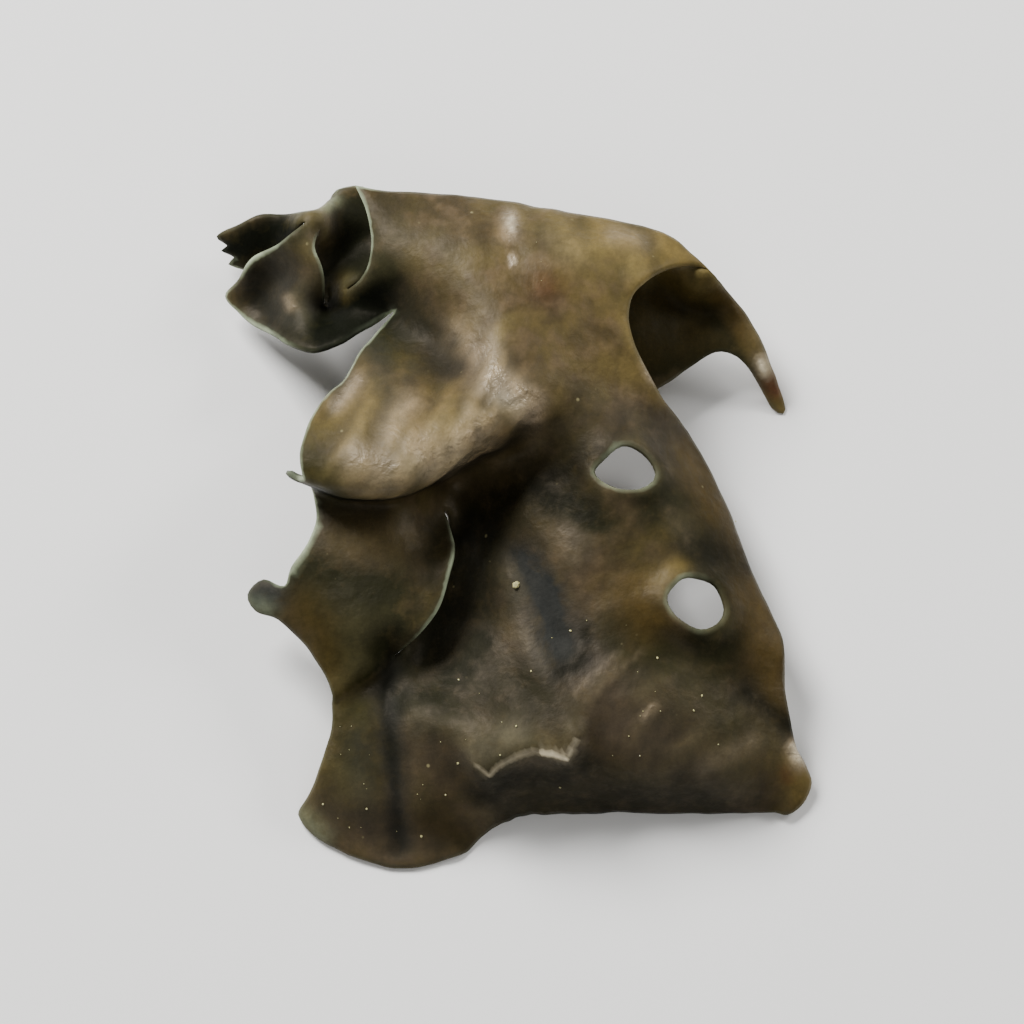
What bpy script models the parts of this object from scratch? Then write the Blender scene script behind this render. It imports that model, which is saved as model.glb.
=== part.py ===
"""One dried wakame flake: a thin leathery scrap of blade that dried into folds.

It has a lobe that folds over a hollow, a torn flap, a ruffled corner, a corner that curls
down as an ear, and two worn holes, and it rests on its low tips and its lower edge.

Lengths are in millimetres until the mesh is made, which is in metres with +Z up. The
outline and the folds are laid out on a plan that is seen from PLAN_RISE above the table:
s runs to the right of the plan and t up it. The flat sheet has more length than the plan
where the lobe folds over, so it has its own coordinates u and v: u is s, and v is t above
the fold, and t less the sheet that the fold takes up below it.
"""

import math
import random
from dataclasses import dataclass

import bmesh
import bpy
import numpy as np
from mathutils.geometry import delaunay_2d_cdt

MM = 0.001
BLADE = 0.6  # thickness of the blade
POINT_STEP = 0.68  # distance between the points that the blade is made of
FINE_STEP = 0.46  # the same where the blade bends sharply
FINE_AREAS = [(-12.5, 12.2, 4.6), (-0.9, -11.3, 2.9), (-7.4, -6.8, 1.6), (5.6, 10.2, 2.2)]  # as (s, t, radius)
EDGE_CLEAR = 0.6  # no inner point lies nearer to an edge than this share of the distance
PLAN_RISE = math.radians(72)
SEED = 7
TINY = 1e-6

# The outline, clockwise from the leaf at the ruffled corner.
LEAF_TOP = [(-16, 13.9), (-15.1, 14.4), (-13.9, 14.9), (-12.3, 14.95), (-11.2, 15.1), (-10.3, 16.1)]
TOP_EDGE = [(-7.85, 15.9), (-5.1, 15.7), (-2.55, 15.45), (-0.3, 15.05), (2.9, 14.5), (5.6, 13.85)]
EAR_OUTER = [(6.9, 12.9), (8.5, 11.35), (9.75, 9.75), (10.7, 7.85), (11.55, 5.4)]
EAR_FOOT = [(10.9, 5.45), (10.1, 6.9), (9.2, 7.9), (8.2, 8.1), (7.0, 7.3), (5.95, 6.3)]
RIGHT_EDGE = [(6.7, 4.3), (7.85, 2.25), (8.8, 0.15), (9.6, -2.1), (10.55, -4.15), (11.3, -5.9),
              (11.35, -8), (11.8, -10.55)]
CORNER_TAB = [(12.3, -11.6), (12.6, -12.5), (12.25, -13.45), (11.5, -14)]
BOTTOM_EDGE = [(10.6, -13.85), (8.5, -13.9), (5.3, -13.9), (2.1, -13.9), (-0.3, -13.95), (-1.9, -14.25),
               (-3.05, -14.9), (-3.85, -15.75)]
RIBBON_FOOT = [(-5.1, -16.2), (-6.7, -16.55), (-8.3, -16.3), (-9.9, -15.7), (-11.05, -15.05), (-11.85, -14)]
RIBBON_LEFT = [(-11.3, -12.95), (-10.65, -11.35), (-10.15, -9.45), (-10.4, -7.7), (-11.5, -5.9), (-12.8, -4.7)]
PALE_CURL = [(-13.9, -4.3), (-14.3, -3.5), (-13.5, -2.8), (-12.5, -3.1)]
LIGHT_RIM = [(-12.15, -2.2), (-11.3, -0.9), (-11, 0.1)]
BULGE_EDGE = [(-11.75, 3.2), (-11.45, 4.3), (-10.7, 5.75), (-9.6, 6.8), (-8.95, 8), (-8.15, 8.95),
              (-7.3, 10.05)]
CUP_FOOT = [(-8.6, 9.3), (-9.9, 8.5), (-11.5, 8.15), (-13.35, 9.05), (-14.7, 9.9), (-15.5, 10.9),
            (-14.9, 11.7)]
LEAF_TEETH = [(-15.5, 12.65), (-15.2, 13), (-15.8, 13.25), (-15.5, 13.5)]
FOLD_TAB = 1.3  # how far a small torn tab stands out of the fold's left end
FOLD_TAB_PLACE, FOLD_TAB_WIDTH = 0.3, 0.09  # as shares of that end, from its top
FOLD_END_POINTS = (0.85, 0.7, 0.5, 0.38, 0.28, 0.18)

HOLE_UPPER = [(2.25, 2.3), (3.05, 3.3), (3.85, 3.65), (4.8, 3.1), (5.25, 2.25), (4.9, 1.75), (4.1, 1.5),
              (3, 1.7)]
HOLE_LOWER = [(5.7, -3.75), (6.05, -3.05), (6.7, -2.65), (8, -3.05), (8.45, -4.2), (8.1, -4.9), (7.3, -5.15),
              (6.2, -4.6)]

# The fold: the lip that the lobe hangs over the hollow, from left to right.
FOLD_LINE = [(-14, 2.6), (-12.3, 2.1), (-11.5, 1.75), (-9.9, 1.2), (-8.3, 1.1), (-6.7, 1.3), (-5.1, 2),
             (-3.5, 2.95), (-1.9, 4.1), (-0.3, 4.9), (2.1, 5.45)]
FOLD_FULL, FOLD_ENDS = -4.5, 2.7  # from full fold at the left to none at the right
LIP_BACK = 0.9  # from the lip back to where the lobe starts to turn over
LIP_DOWN = 2.3  # from there down the plan to where the blade comes out flat below
LIP_LENGTH = 8.0  # blade taken up by the turn
LIP_REACH = 8.5  # how hard it bends: the overhang is 0.15 of this
LOBE_RISE, LOBE_WIDTH = 3.2, 4.2
HOLLOW_DROP, HOLLOW_WIDTH = 2.4, 3.2


@dataclass(frozen=True)
class Tear:
    """A tear along a rim, with the blade raised on one side and reaching in under it on the other.

    rim runs along the raised side. under is the unit direction in which the lower side reaches
    under it, by tuck, and left tells whether the lower side is on the left of the rim's direction.
    shut gives how far the tear takes to open from the rim's first and last point, 0 if it is open
    to the blade's edge. before and after lengthen the rim past the edge, to part the two sides.
    """

    rim: tuple
    under: tuple
    left: bool
    shut: tuple
    lift: float
    lift_width: float
    drop: float
    drop_width: float
    tuck: float
    before: tuple = ()
    after: tuple = ()


SLIT_WIDTH = 0.36  # between the two sides of a tear, before one is drawn in under the other
TUCK_WIDTH = 1.5  # how far into the blade that is felt
TUCK_LATE = 3  # how long the drawing in waits while a tear opens
FLAP_TEAR = Tear(
    rim=(
        (-4.95, 0.5), (-4.65, -0.2), (-4.4, -1.3), (-4.65, -2.55), (-5.15, -4.15), (-6.2, -5.5), (-7.35, -6.4),
    ),
    under=(-1, 0), left=True, shut=(2.6, 2.6), lift=1.3, lift_width=3.6, drop=1.7, drop_width=2.0,
    tuck=0.85,
)
EAR_TEAR = Tear(
    rim=((5.6, 11.75), (4.9, 11.4), (4.2, 10.85), (3.9, 9.9), (4.3, 8.3), (4.95, 6.9), (5.5, 5.9)),
    under=(-1, 0), left=True, shut=(2.4, 0), lift=0, lift_width=1, drop=2.7, drop_width=3.6,
    tuck=0.85, after=((13, 5.2),),
)
PLATEAU_TEAR = Tear(
    rim=((-9.15, 16.15), (-8.6, 15.1), (-8.3, 13.8), (-8.5, 12.4)),
    under=(1, 0), left=False, shut=(0, 2.2), lift=0, lift_width=1, drop=2.2, drop_width=1.3,
    tuck=0.5, before=((-9.9, 18),),
)
CUP_TEAR = Tear(
    rim=((-11.05, 14.1), (-11.25, 13.2), (-10.95, 12.3), (-10.85, 11.4), (-10.95, 10.4)),
    under=(-1, 0), left=True, shut=(1.3, 1.6), lift=0.9, lift_width=1.2, drop=0.9, drop_width=1.0,
    tuck=0.4,
)
LEAF_TEAR = Tear(
    rim=((-14.5, 12.35), (-14.1, 12.75), (-13.1, 13.25), (-12.3, 13.8)),
    under=(0.5, -0.87), left=True, shut=(0, 1.6), lift=0.9, lift_width=1.3, drop=1.3, drop_width=2.0,
    tuck=0.4, before=((-17, 12.1),),
)
TEARS = (FLAP_TEAR, EAR_TEAR, PLATEAU_TEAR, CUP_TEAR, LEAF_TEAR)

# Heights of the middle of the blade above the table, as (s, t, height).
SWELL = [
    (-7.5, 15.5, 5.6), (-3.5, 15.5, 6.0), (0.5, 15, 6.2), (4.5, 14, 5.8), (-5, 12.5, 6.6), (0, 12, 7.0),
    (3.8, 11.5, 6.4), (-2.5, 8.5, 6.6), (1.5, 8, 6.4), (-7, 9.3, 5.6), (-10, 5, 5.2), (-6.5, 4, 5.6),
    (-3, 4.5, 5.9), (-11.2, 2.5, 5.0), (7, 12.5, 5.6), (8.7, 10.8, 4.2), (10.2, 8.4, 2.4), (11.3, 6, 0.35),
    (4.4, 8.6, 6.0), (6.2, 5.2, 4.8), (3.7, 2.6, 5.8), (-9.5, 11.5, 5.2), (-11, 13, 4.2), (-12.5, 11, 3.4),
    (-14, 13.2, 3.2), (-15.8, 13.5, 2.2), (-11.5, 9, 3.6), (-14.7, 10.5, 1.4), (-8, 1.1, 5.2),
    (-3.5, 2.2, 5.4),
    (0, 2.2, 5.4), (-12, 1.2, 4.6), (-11, -2, 4.6), (-7.5, -2, 4.6), (-12.5, -4.5, 3.2), (-9, -5, 4.0),
    (-9.4, -9.8, 3.0), (-10.5, -13.8, 1.5), (-8.6, -15.9, 0.5), (-6, -16.2, 0.5), (-3.5, -4.2, 3.6),
    (-5, -7.4, 3.4), (-1, -4.2, 4.5), (3, -4.2, 5.0), (7, -4, 4.9), (3, -1, 5.4), (-3.5, -10.5, 4.0),
    (0, -10.5, 4.5), (4.5, -9.8, 4.6), (8.5, -9, 3.6), (10.9, -7.4, 2.4), (-2, -14, 3.6), (2, -13.9, 4.2),
    (6, -13.9, 4.0), (10, -13.8, 3.0), (12.2, -12, 1.2), (11.8, -13.8, 0.6), (10.5, -4.2, 3.4), (9, 0, 4.2),
    (7.5, 3, 4.8),
]

# Ridges and furrows, as (line, width, height): a furrow has a height below zero.
RELIEF = [
    ([(-3.35, -11.45), (-2.25, -11.7), (-0.65, -11.05), (0.65, -11.2), (1.6, -10.25)], 0.85, 0.6),
    ([(-0.65, -0.65), (0, -2.55), (0.8, -4.8), (1.1, -7.2)], 0.9, -0.7),
    ([(-7.5, -7.35), (-7.35, -10.55), (-7.2, -13.75), (-7.2, -15.7)], 0.55, -0.6),
    ([(-7.3, 10), (-5.75, 9.3), (-4.8, 8.6)], 1.1, -1.4),
    ([(-4.8, 8.6), (-3.9, 7.3), (-3.6, 6.2)], 0.9, -0.5),
    ([(9.6, -8.15), (10.55, -9.1), (11.5, -10.1)], 0.5, -0.45),
    ([(1.45, -1.3), (1.5, -1.35)], 1.1, 0.5),
    ([(-9.3, 12.2), (-9.75, 11.3), (-10.2, 10.5)], 0.9, -1.1),
    ([(-12.6, 10.6), (-12.9, 11.8)], 1.1, -1.2),
    ([(-12.1, 14), (-11.5, 14.5)], 0.7, 0.7),
]
RIM_RISE, RIM_WIDTH = 0.55, 0.6  # the raised rim round each hole

# Edges that turn down, as (edge, height at the edge, width of the turn).
TURNED_DOWN = [
    (BOTTOM_EDGE, -0.1, 2.9),
    (RIBBON_FOOT, 0.1, 2.2),
    (TOP_EDGE, 4.4, 2.4),
    (RIGHT_EDGE, 2.6, 2.6),
    (BULGE_EDGE, 4.6, 2.2),
]
RIPPLE, RIPPLE_LENGTH, RIPPLE_COUNT = 0.16, 5.0, 7
RIPPLE_SPREAD = (0.7, 1.4)  # the shortest and longest wave, as shares of the length


def smooth_step(start, end, value):
    share = np.clip((value - start) / (end - start), 0, 1)
    return share * share * (3 - 2 * share)


def along(line, s, t):
    """The nearest place on a line of straight stretches to each point of the plan.

    Returns its distance, its run along the line, and whether the point is left of the line.
    """
    nearest = np.full(np.shape(s), np.inf)
    run = np.zeros(np.shape(s))
    lean = np.zeros(np.shape(s))
    start = 0.0
    for (s0, t0), (s1, t1) in zip(line, line[1:]):
        ds, dt = s1 - s0, t1 - t0
        length = math.hypot(ds, dt)
        share = np.clip(((s - s0) * ds + (t - t0) * dt) / length**2, 0, 1)
        away = np.hypot(s - s0 - share * ds, t - t0 - share * dt)
        off = ((t - t0) * ds - (s - s0) * dt) / length
        same = np.abs(away - nearest) <= TINY
        better = (away < nearest - TINY) | (same & (np.abs(off) > np.abs(lean)))
        run = np.where(better, start + share * length, run)
        lean = np.where(better, off, lean)
        nearest = np.where(better, away, nearest)
        start += length
    return nearest, run, lean > 0


def distance_to(line, s, t):
    """Distance on the plan from each point to a line."""
    return along(line, s, t)[0]


def surface_through(places):
    """The smoothest surface through (s, t, height) places, as a function of s and t."""
    places = np.array(places, float)
    s, t = places[:, 0], places[:, 1]

    def spread(ds, dt):
        squared = ds * ds + dt * dt
        return squared * np.log(squared + TINY**2)

    flat = np.column_stack([np.ones_like(s), s, t])
    system = np.block([
        [spread(s[:, None] - s, t[:, None] - t), flat],
        [flat.T, np.zeros((3, 3))],
    ])
    weights = np.linalg.solve(system, np.concatenate([places[:, 2], np.zeros(3)]))

    def surface(at_s, at_t):
        bent = spread(at_s[..., None] - s, at_t[..., None] - t) @ weights[:-3]
        return bent + weights[-3] + weights[-2] * at_s + weights[-1] * at_t

    return surface


SWELL_SURFACE = surface_through(SWELL)


def ripples(s, t):
    """Slight waves all over, in random directions."""
    draw = random.Random(SEED)
    total = np.zeros(np.shape(s))
    for _ in range(RIPPLE_COUNT):
        way, phase = draw.uniform(0, math.pi), draw.uniform(0, 2 * math.pi)
        turn = 2 * math.pi / (RIPPLE_LENGTH * draw.uniform(*RIPPLE_SPREAD))
        total += np.sin(turn * (s * math.cos(way) + t * math.sin(way)) + phase)
    return total * RIPPLE / math.sqrt(RIPPLE_COUNT)


def lower_side(tear):
    """The line that the lower side of a tear is cut along."""
    return [(s - SLIT_WIDTH * tear.under[0], t - SLIT_WIDTH * tear.under[1]) for s, t in tear.rim]


def torn(tear, s, t):
    """How far the tear is open beside each point, and which points are on its lower side."""
    middle = [((s0 + s1) / 2, (t0 + t1) / 2) for (s0, t0), (s1, t1) in zip(tear.rim, lower_side(tear))]
    away, run, _ = along(middle, s, t)
    left = along([*tear.before, *middle, *tear.after], s, t)[2]
    total = sum(math.dist(start, end) for start, end in zip(middle, middle[1:]))
    first, last = tear.shut
    gape = smooth_step(0, first, run) if first else np.ones(np.shape(s))
    gape = gape * (smooth_step(0, last, total - run) if last else 1)
    return away, gape, left == tear.left


def torn_height(s, t):
    """The lift of the upper side of each tear and the drop of the lower."""
    total = np.zeros(np.shape(s))
    for tear in TEARS:
        away, gape, below = torn(tear, s, t)
        drop = tear.drop * np.exp(-((away / tear.drop_width) ** 2))
        lift = tear.lift * np.exp(-((away / tear.lift_width) ** 2))
        total += gape * np.where(below, -drop, lift)
    return total


def tucked(s, t):
    """Where plan points go once the lower side of each tear is drawn in under the upper."""
    new_s, new_t = s, t
    for tear in TEARS:
        away, gape, below = torn(tear, s, t)
        pull = tear.tuck * below * gape**TUCK_LATE * np.exp(-away / TUCK_WIDTH)
        new_s, new_t = new_s + pull * tear.under[0], new_t + pull * tear.under[1]
    return new_s, new_t


def height(s, t):
    """Height of the blade's middle on the plan, without the fold."""
    z = SWELL_SURFACE(s, t) + ripples(s, t) + torn_height(s, t)
    for line, width, rise in RELIEF:
        z = z + rise * np.exp(-((distance_to(line, s, t) / width) ** 2))
    for hole in (HOLE_UPPER, HOLE_LOWER):
        away = distance_to(hole + hole[:1], s, t)
        z = z + RIM_RISE * np.exp(-((away / RIM_WIDTH) ** 2))
    for edge, low, width in TURNED_DOWN:
        turned = 1 - smooth_step(0, width, distance_to(edge, s, t))
        z = z + np.minimum(low - z, 0) * turned
    return z


def fold_share(u):
    """How strong the fold is: 1 at the left, 0 where it fades out at the right."""
    return 1 - smooth_step(FOLD_FULL, FOLD_ENDS, u)


def brink(u):
    """Where the lobe starts to turn over, on the plan."""
    line = np.array(FOLD_LINE)
    return np.interp(u, line[:, 0], line[:, 1]) + LIP_BACK * fold_share(u)


def taken_up(u):
    """Length of sheet that the fold takes up, which the plan doesn't show."""
    return (LIP_LENGTH - LIP_DOWN) * fold_share(u)


def depth(t, z):
    """World Y of a point that lies at t on the plan, at height z."""
    return (t - z * math.cos(PLAN_RISE)) / math.sin(PLAN_RISE)


def upper_blade(u, t):
    """World Y and Z above the fold."""
    lobe = LOBE_RISE * fold_share(u) * np.exp(-(((t - brink(u)) / LOBE_WIDTH) ** 2))
    z = height(u, t) + lobe
    return np.array([depth(t, z), z])


def lower_blade(u, t):
    """World Y and Z below the fold."""
    from_fold = brink(u) - LIP_DOWN * fold_share(u) - t
    hollow = HOLLOW_DROP * fold_share(u) * np.exp(-((from_fold / HOLLOW_WIDTH) ** 2))
    z = height(u, t) - hollow
    return np.array([depth(t, z), z])


def heading(blade, u, t, step=0.05):
    """Unit direction of the blade down the plan, in Y and Z."""
    run = blade(u, t - step) - blade(u, t)
    return run / np.hypot(*run)


def placed(u, v):
    """The middle of the blade at (u, v) of the flat sheet, as x, y and z."""
    share = fold_share(u)
    start = brink(u)
    landing = start - LIP_DOWN * share
    turned = np.clip((start - v) / np.maximum(LIP_LENGTH * share, TINY), 0, 1)
    above = upper_blade(u, np.maximum(v, start))
    below = lower_blade(u, np.minimum(v + taken_up(u), landing))
    reach = LIP_REACH * share**2
    square, cube = turned**2, turned**3
    y, z = (
        above * (2 * cube - 3 * square + 1)
        + heading(upper_blade, u, start) * reach * (cube - 2 * square + turned)
        + below * (3 * square - 2 * cube)
        + heading(lower_blade, u, landing) * reach * (cube - square)
    )
    plan = on_plan(u, v)
    new_s, new_t = tucked(u, plan)
    return np.column_stack([new_s, y + (new_t - plan) / math.sin(PLAN_RISE), z])


def on_sheet(points):
    """Plan points that are clear of the fold, on the flat sheet."""
    return [(s, t - float(taken_up(s)) * (t < brink(s) - LIP_DOWN / 2)) for s, t in points]


def fold_end():
    """The sheet's left edge where it turns over, with a small torn tab."""
    top, foot = BULGE_EDGE[0], on_sheet(LIGHT_RIM)[-1]
    edge = []
    for share in FOLD_END_POINTS:
        out = FOLD_TAB * math.exp(-(((share - FOLD_TAB_PLACE) / FOLD_TAB_WIDTH) ** 2))
        up = 1 - share
        edge.append((foot[0] + (top[0] - foot[0]) * up - out, foot[1] + (top[1] - foot[1]) * up))
    return edge


def outline():
    """The sheet's edge, as one closed line of (u, v) points."""
    top = (
        LEAF_TOP + lower_side(PLATEAU_TEAR)[:-1] + list(PLATEAU_TEAR.rim[::-1]) + TOP_EDGE
        + EAR_OUTER + EAR_FOOT + lower_side(EAR_TEAR)[:0:-1] + list(EAR_TEAR.rim) + RIGHT_EDGE
    )
    bottom = CORNER_TAB + BOTTOM_EDGE + RIBBON_FOOT + RIBBON_LEFT + PALE_CURL + LIGHT_RIM
    left = BULGE_EDGE + CUP_FOOT + list(LEAF_TEAR.rim) + lower_side(LEAF_TEAR)[-2::-1] + LEAF_TEETH
    return on_sheet(top + bottom) + fold_end() + on_sheet(left)


def closed_slit(tear):
    """The slit of a tear that is shut at both ends, as a narrow closed line on the sheet."""
    return on_sheet(list(tear.rim) + lower_side(tear)[-2:0:-1])


def on_plan(u, v):
    """The height on the plan of a place on the sheet, which is the brink's all through the fold."""
    start = brink(u)
    landing = start - LIP_DOWN * fold_share(u)
    return np.where(v >= start, v, np.minimum(v + taken_up(u), landing))


def step_at(u, v):
    """Distance between points at a place on the sheet."""
    t = on_plan(u, v)
    fine = [np.hypot(u - s0, t - t0) < radius for s0, t0, radius in FINE_AREAS]
    return np.where(np.any(fine, axis=0), FINE_STEP, POINT_STEP)


def rounded(points):
    """A closed smooth line through the points, with long stretches divided."""
    points = np.array(points, float)
    line = []
    for i, (before, start, end, after) in enumerate(
        zip(np.roll(points, 1, 0), points, np.roll(points, -1, 0), np.roll(points, -2, 0))
    ):
        parts = max(1, round(float(np.hypot(*(end - start)) / step_at(*start))))
        for k in range(parts):
            r = k / parts
            bend = (end - before) * r + (2 * before - 5 * start + 4 * end - after) * r * r
            bend += (3 * start - before - 3 * end + after) * r**3
            line.append(start + 0.5 * bend)
    return np.array(line)


def inside(loop, points):
    """Which points lie inside a closed line."""
    found = np.zeros(len(points), bool)
    x, y = points[:, 0], points[:, 1]
    for (x0, y0), (x1, y1) in zip(loop, np.roll(loop, -1, 0)):
        if y0 != y1:
            crosses = ((y0 > y) != (y1 > y)) & (x < x0 + (y - y0) * (x1 - x0) / (y1 - y0))
            found ^= crosses
    return found


def creases():
    """The ridges and furrows as open lines on the sheet, divided like the edges."""
    lines = []
    for line, _, _ in RELIEF:
        points = np.array(on_sheet(line))
        lengths = np.hypot(*np.diff(points, axis=0).T)
        run = np.concatenate([[0], np.cumsum(lengths)])
        count = max(2, round(float(run[-1] / step_at(*points[0]))) + 1)
        places = np.linspace(0, run[-1], count)
        lines.append(np.column_stack([np.interp(places, run, points[:, k]) for k in range(2)]))
    return lines


def rows(step, low, high):
    """Points in staggered rows over a box."""
    return np.array([
        (u, v)
        for k, v in enumerate(np.arange(low[1], high[1], step * math.sqrt(0.75)))
        for u in np.arange(low[0] + 0.5 * step * (k % 2), high[0], step)
    ])


def inner_points(edge, holes, lines):
    """Points over the sheet, clear of its edges and creases."""
    found = []
    for step in (POINT_STEP, FINE_STEP):
        points = rows(step, edge.min(axis=0), edge.max(axis=0))
        keep = inside(edge, points) & (step_at(points[:, 0], points[:, 1]) == step)
        for hole in holes:
            keep &= ~inside(hole, points)
        for line in [*(np.vstack([loop, loop[:1]]) for loop in (edge, *holes)), *lines]:
            keep &= distance_to(line, points[:, 0], points[:, 1]) > EDGE_CLEAR * step
        found.append(points[keep])
    return np.vstack(found)


def flat_sheet():
    """The flat sheet as (u, v) points and triangles."""
    edge = rounded(outline())
    openings = (HOLE_UPPER, HOLE_LOWER, closed_slit(FLAP_TEAR), closed_slit(CUP_TEAR))
    holes = [rounded(opening) for opening in openings]
    lines = creases()
    points, ties = [], []
    for loop in [edge, *holes]:
        first = len(points)
        points += [tuple(point) for point in loop]
        ties += [(first + k, first + (k + 1) % len(loop)) for k in range(len(loop))]
    for line in lines:
        first = len(points)
        points += [tuple(point) for point in line]
        ties += [(first + k, first + k + 1) for k in range(len(line) - 1)]
    points += [tuple(point) for point in inner_points(edge, holes, lines)]
    points, _, faces, *_ = delaunay_2d_cdt(points, ties, [], 0, TINY)
    points = np.array([tuple(point) for point in points])
    faces = np.array([face for face in faces if len(face) == 3])
    middles = points[faces].mean(axis=1)
    keep = inside(edge, middles)
    for hole in holes:
        keep &= ~inside(hole, middles)
    return points, faces[keep]


def dried_material():
    material = bpy.data.materials.new("dried_blade")
    material.use_nodes = True
    shader = material.node_tree.nodes["Principled BSDF"]
    shader.inputs["Base Color"].default_value = (0.060, 0.046, 0.027, 1)
    shader.inputs["Roughness"].default_value = 0.45
    shader.inputs["Metallic"].default_value = 0
    return material


def thickened(blade):
    """Gives the sheet its thickness, as a plain mesh."""
    solidify = blade.modifiers.new("thickness", "SOLIDIFY")
    solidify.thickness = BLADE * MM
    solidify.offset = 0
    solidify.use_even_offset = False
    solidify.use_rim = True
    bpy.context.view_layer.update()
    graph = bpy.context.evaluated_depsgraph_get()
    solid = bpy.data.meshes.new_from_object(blade.evaluated_get(graph))
    blade.modifiers.clear()
    return solid


def set_down(mesh):
    """Presses the feet flat on the table, and centres the flake over its own outline."""
    places = np.empty(len(mesh.vertices) * 3)
    mesh.vertices.foreach_get("co", places)
    places = places.reshape(-1, 3)
    low, high = places.min(axis=0), places.max(axis=0)
    places[:, :2] -= (low[:2] + high[:2]) / 2
    places[:, 2] = np.maximum(places[:, 2], 0)
    mesh.vertices.foreach_set("co", places.ravel())


def make_flake():
    sheet, faces = flat_sheet()
    places = placed(sheet[:, 0], sheet[:, 1]) * MM
    mesh = bpy.data.meshes.new("wakame_flake")
    shape = bmesh.new()
    corners = [shape.verts.new(place) for place in places]
    for face in faces:
        shape.faces.new([corners[k] for k in face])
    loose = [corner for corner in corners if not corner.link_faces]
    bmesh.ops.delete(shape, geom=loose, context="VERTS")
    shape.to_mesh(mesh)
    shape.free()
    blade = bpy.data.objects.new("wakame_flake", mesh)
    bpy.context.scene.collection.objects.link(blade)
    blade.data = thickened(blade)
    bpy.data.meshes.remove(mesh)
    blade.data.name = "wakame_flake"
    set_down(blade.data)
    blade.data.materials.append(dried_material())
    blade.data.shade_smooth()
    return blade


for leftover in list(bpy.data.objects):
    bpy.data.objects.remove(leftover, do_unlink=True)
make_flake()
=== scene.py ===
"""One dried wakame flake on a pale studio floor.

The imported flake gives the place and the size. A finer blade stands for it here: a thin sheet
that is laid out flat, cut to its torn outline, bent into its folds, wrinkled, given its
thickness and dressed as dried seaweed, with grains of sea salt on it.

Lengths are in millimetres until a mesh is made, which is in metres with +Z up. The outline and
the folds are laid out on a plan that is seen from PLAN_RISE above the table: s runs to the right
of the plan and t up it. The flat sheet has more length than the plan where the lobe folds over,
so it has its own coordinates u and v: u is s, and v is t above the fold, and t less the sheet
that the fold takes up below it.
"""

import logging
import math
import random
from collections.abc import Sequence
from dataclasses import dataclass, field
from enum import Enum
from functools import reduce

import bpy
import numpy as np
from mathutils import Matrix, Vector, noise
from mathutils.geometry import delaunay_2d_cdt
from mathutils.kdtree import KDTree

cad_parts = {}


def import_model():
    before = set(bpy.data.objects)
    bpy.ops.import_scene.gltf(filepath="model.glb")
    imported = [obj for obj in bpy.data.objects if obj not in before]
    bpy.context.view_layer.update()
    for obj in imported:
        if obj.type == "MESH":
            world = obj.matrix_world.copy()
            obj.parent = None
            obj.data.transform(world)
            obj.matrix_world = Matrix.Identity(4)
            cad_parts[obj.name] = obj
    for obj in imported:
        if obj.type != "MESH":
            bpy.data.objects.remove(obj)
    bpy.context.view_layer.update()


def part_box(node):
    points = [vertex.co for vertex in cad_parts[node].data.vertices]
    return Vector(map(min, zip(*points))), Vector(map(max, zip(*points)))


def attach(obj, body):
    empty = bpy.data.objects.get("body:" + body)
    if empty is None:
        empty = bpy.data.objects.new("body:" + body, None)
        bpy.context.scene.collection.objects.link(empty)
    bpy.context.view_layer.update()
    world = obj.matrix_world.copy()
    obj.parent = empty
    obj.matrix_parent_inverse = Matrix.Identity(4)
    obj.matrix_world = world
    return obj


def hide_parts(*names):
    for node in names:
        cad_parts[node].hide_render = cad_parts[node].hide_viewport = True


LOG = logging.getLogger("wakame_flake")
MM = 0.001
PLAN_RISE = math.radians(72)
TINY = 1e-6

Place = tuple[float, float]
Spot = tuple[float, float, float]
Row = tuple[float, ...]
Line = Sequence[Place]
Colour = tuple[float, float, float, float]
Array = np.ndarray
Socket = bpy.types.NodeSocket


def smooth_step(start: float, end: float, value: Array) -> Array:
    """A soft step from 0 at start to 1 at end.

    Args:
        start: The value where the step begins.
        end: The value where it is full.
        value: The values to weigh.

    Returns:
        The step at each value.
    """
    share = np.clip((value - start) / (end - start), 0, 1)
    return share * share * (3 - 2 * share)


def fading(away: Array, width: float) -> Array:
    """A soft fall with the distance, from 1 to about a third at the width."""
    return np.exp(-((away / width) ** 2))


def along(line: Line, s: Array, t: Array) -> tuple[Array, Array]:
    """The nearest place on a line of straight stretches to each point of the plan.

    Args:
        line: The corners of the line.
        s: Places along the plan.
        t: Places up the plan.

    Returns:
        The distance, and whether the point is left of the line.
    """
    closest, lean = np.full(np.shape(s), np.inf), np.zeros(np.shape(s))
    for (s0, t0), (s1, t1) in zip(line, line[1:]):
        ds, dt = s1 - s0, t1 - t0
        length = math.hypot(ds, dt)
        share = np.clip(((s - s0) * ds + (t - t0) * dt) / length**2, 0, 1)
        away = np.hypot(s - s0 - share * ds, t - t0 - share * dt)
        off = ((t - t0) * ds - (s - s0) * dt) / length
        same = np.abs(away - closest) <= TINY
        better = (away < closest - TINY) | (same & (np.abs(off) > np.abs(lean)))
        lean = np.where(better, off, lean)
        closest = np.where(better, away, closest)
    return closest, lean > 0


def patch(row: Row, s: Array, t: Array) -> Array:
    """How strong a soft patch is at points of the plan.

    Args:
        row: Its strength, its width, and s and t of each corner of its line.
        s: Places along the plan.
        t: Places up the plan.

    Returns:
        The strength at each point.
    """
    strength, width, *corners = row
    return strength * fading(along(list(zip(corners[::2], corners[1::2])), s, t)[0], width)


def inside(loop: Array, points: Array) -> Array:
    """Which points lie inside a closed line.

    Args:
        loop: The line's corners.
        points: The points to test.

    Returns:
        True for each point that is inside.
    """
    found = np.zeros(len(points), bool)
    x, y = points[:, 0], points[:, 1]
    for (x0, y0), (x1, y1) in zip(loop, np.roll(loop, -1, 0)):
        if y0 != y1:
            found ^= ((y0 > y) != (y1 > y)) & (x < x0 + (y - y0) * (x1 - x0) / (y1 - y0))
    return found


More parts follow.
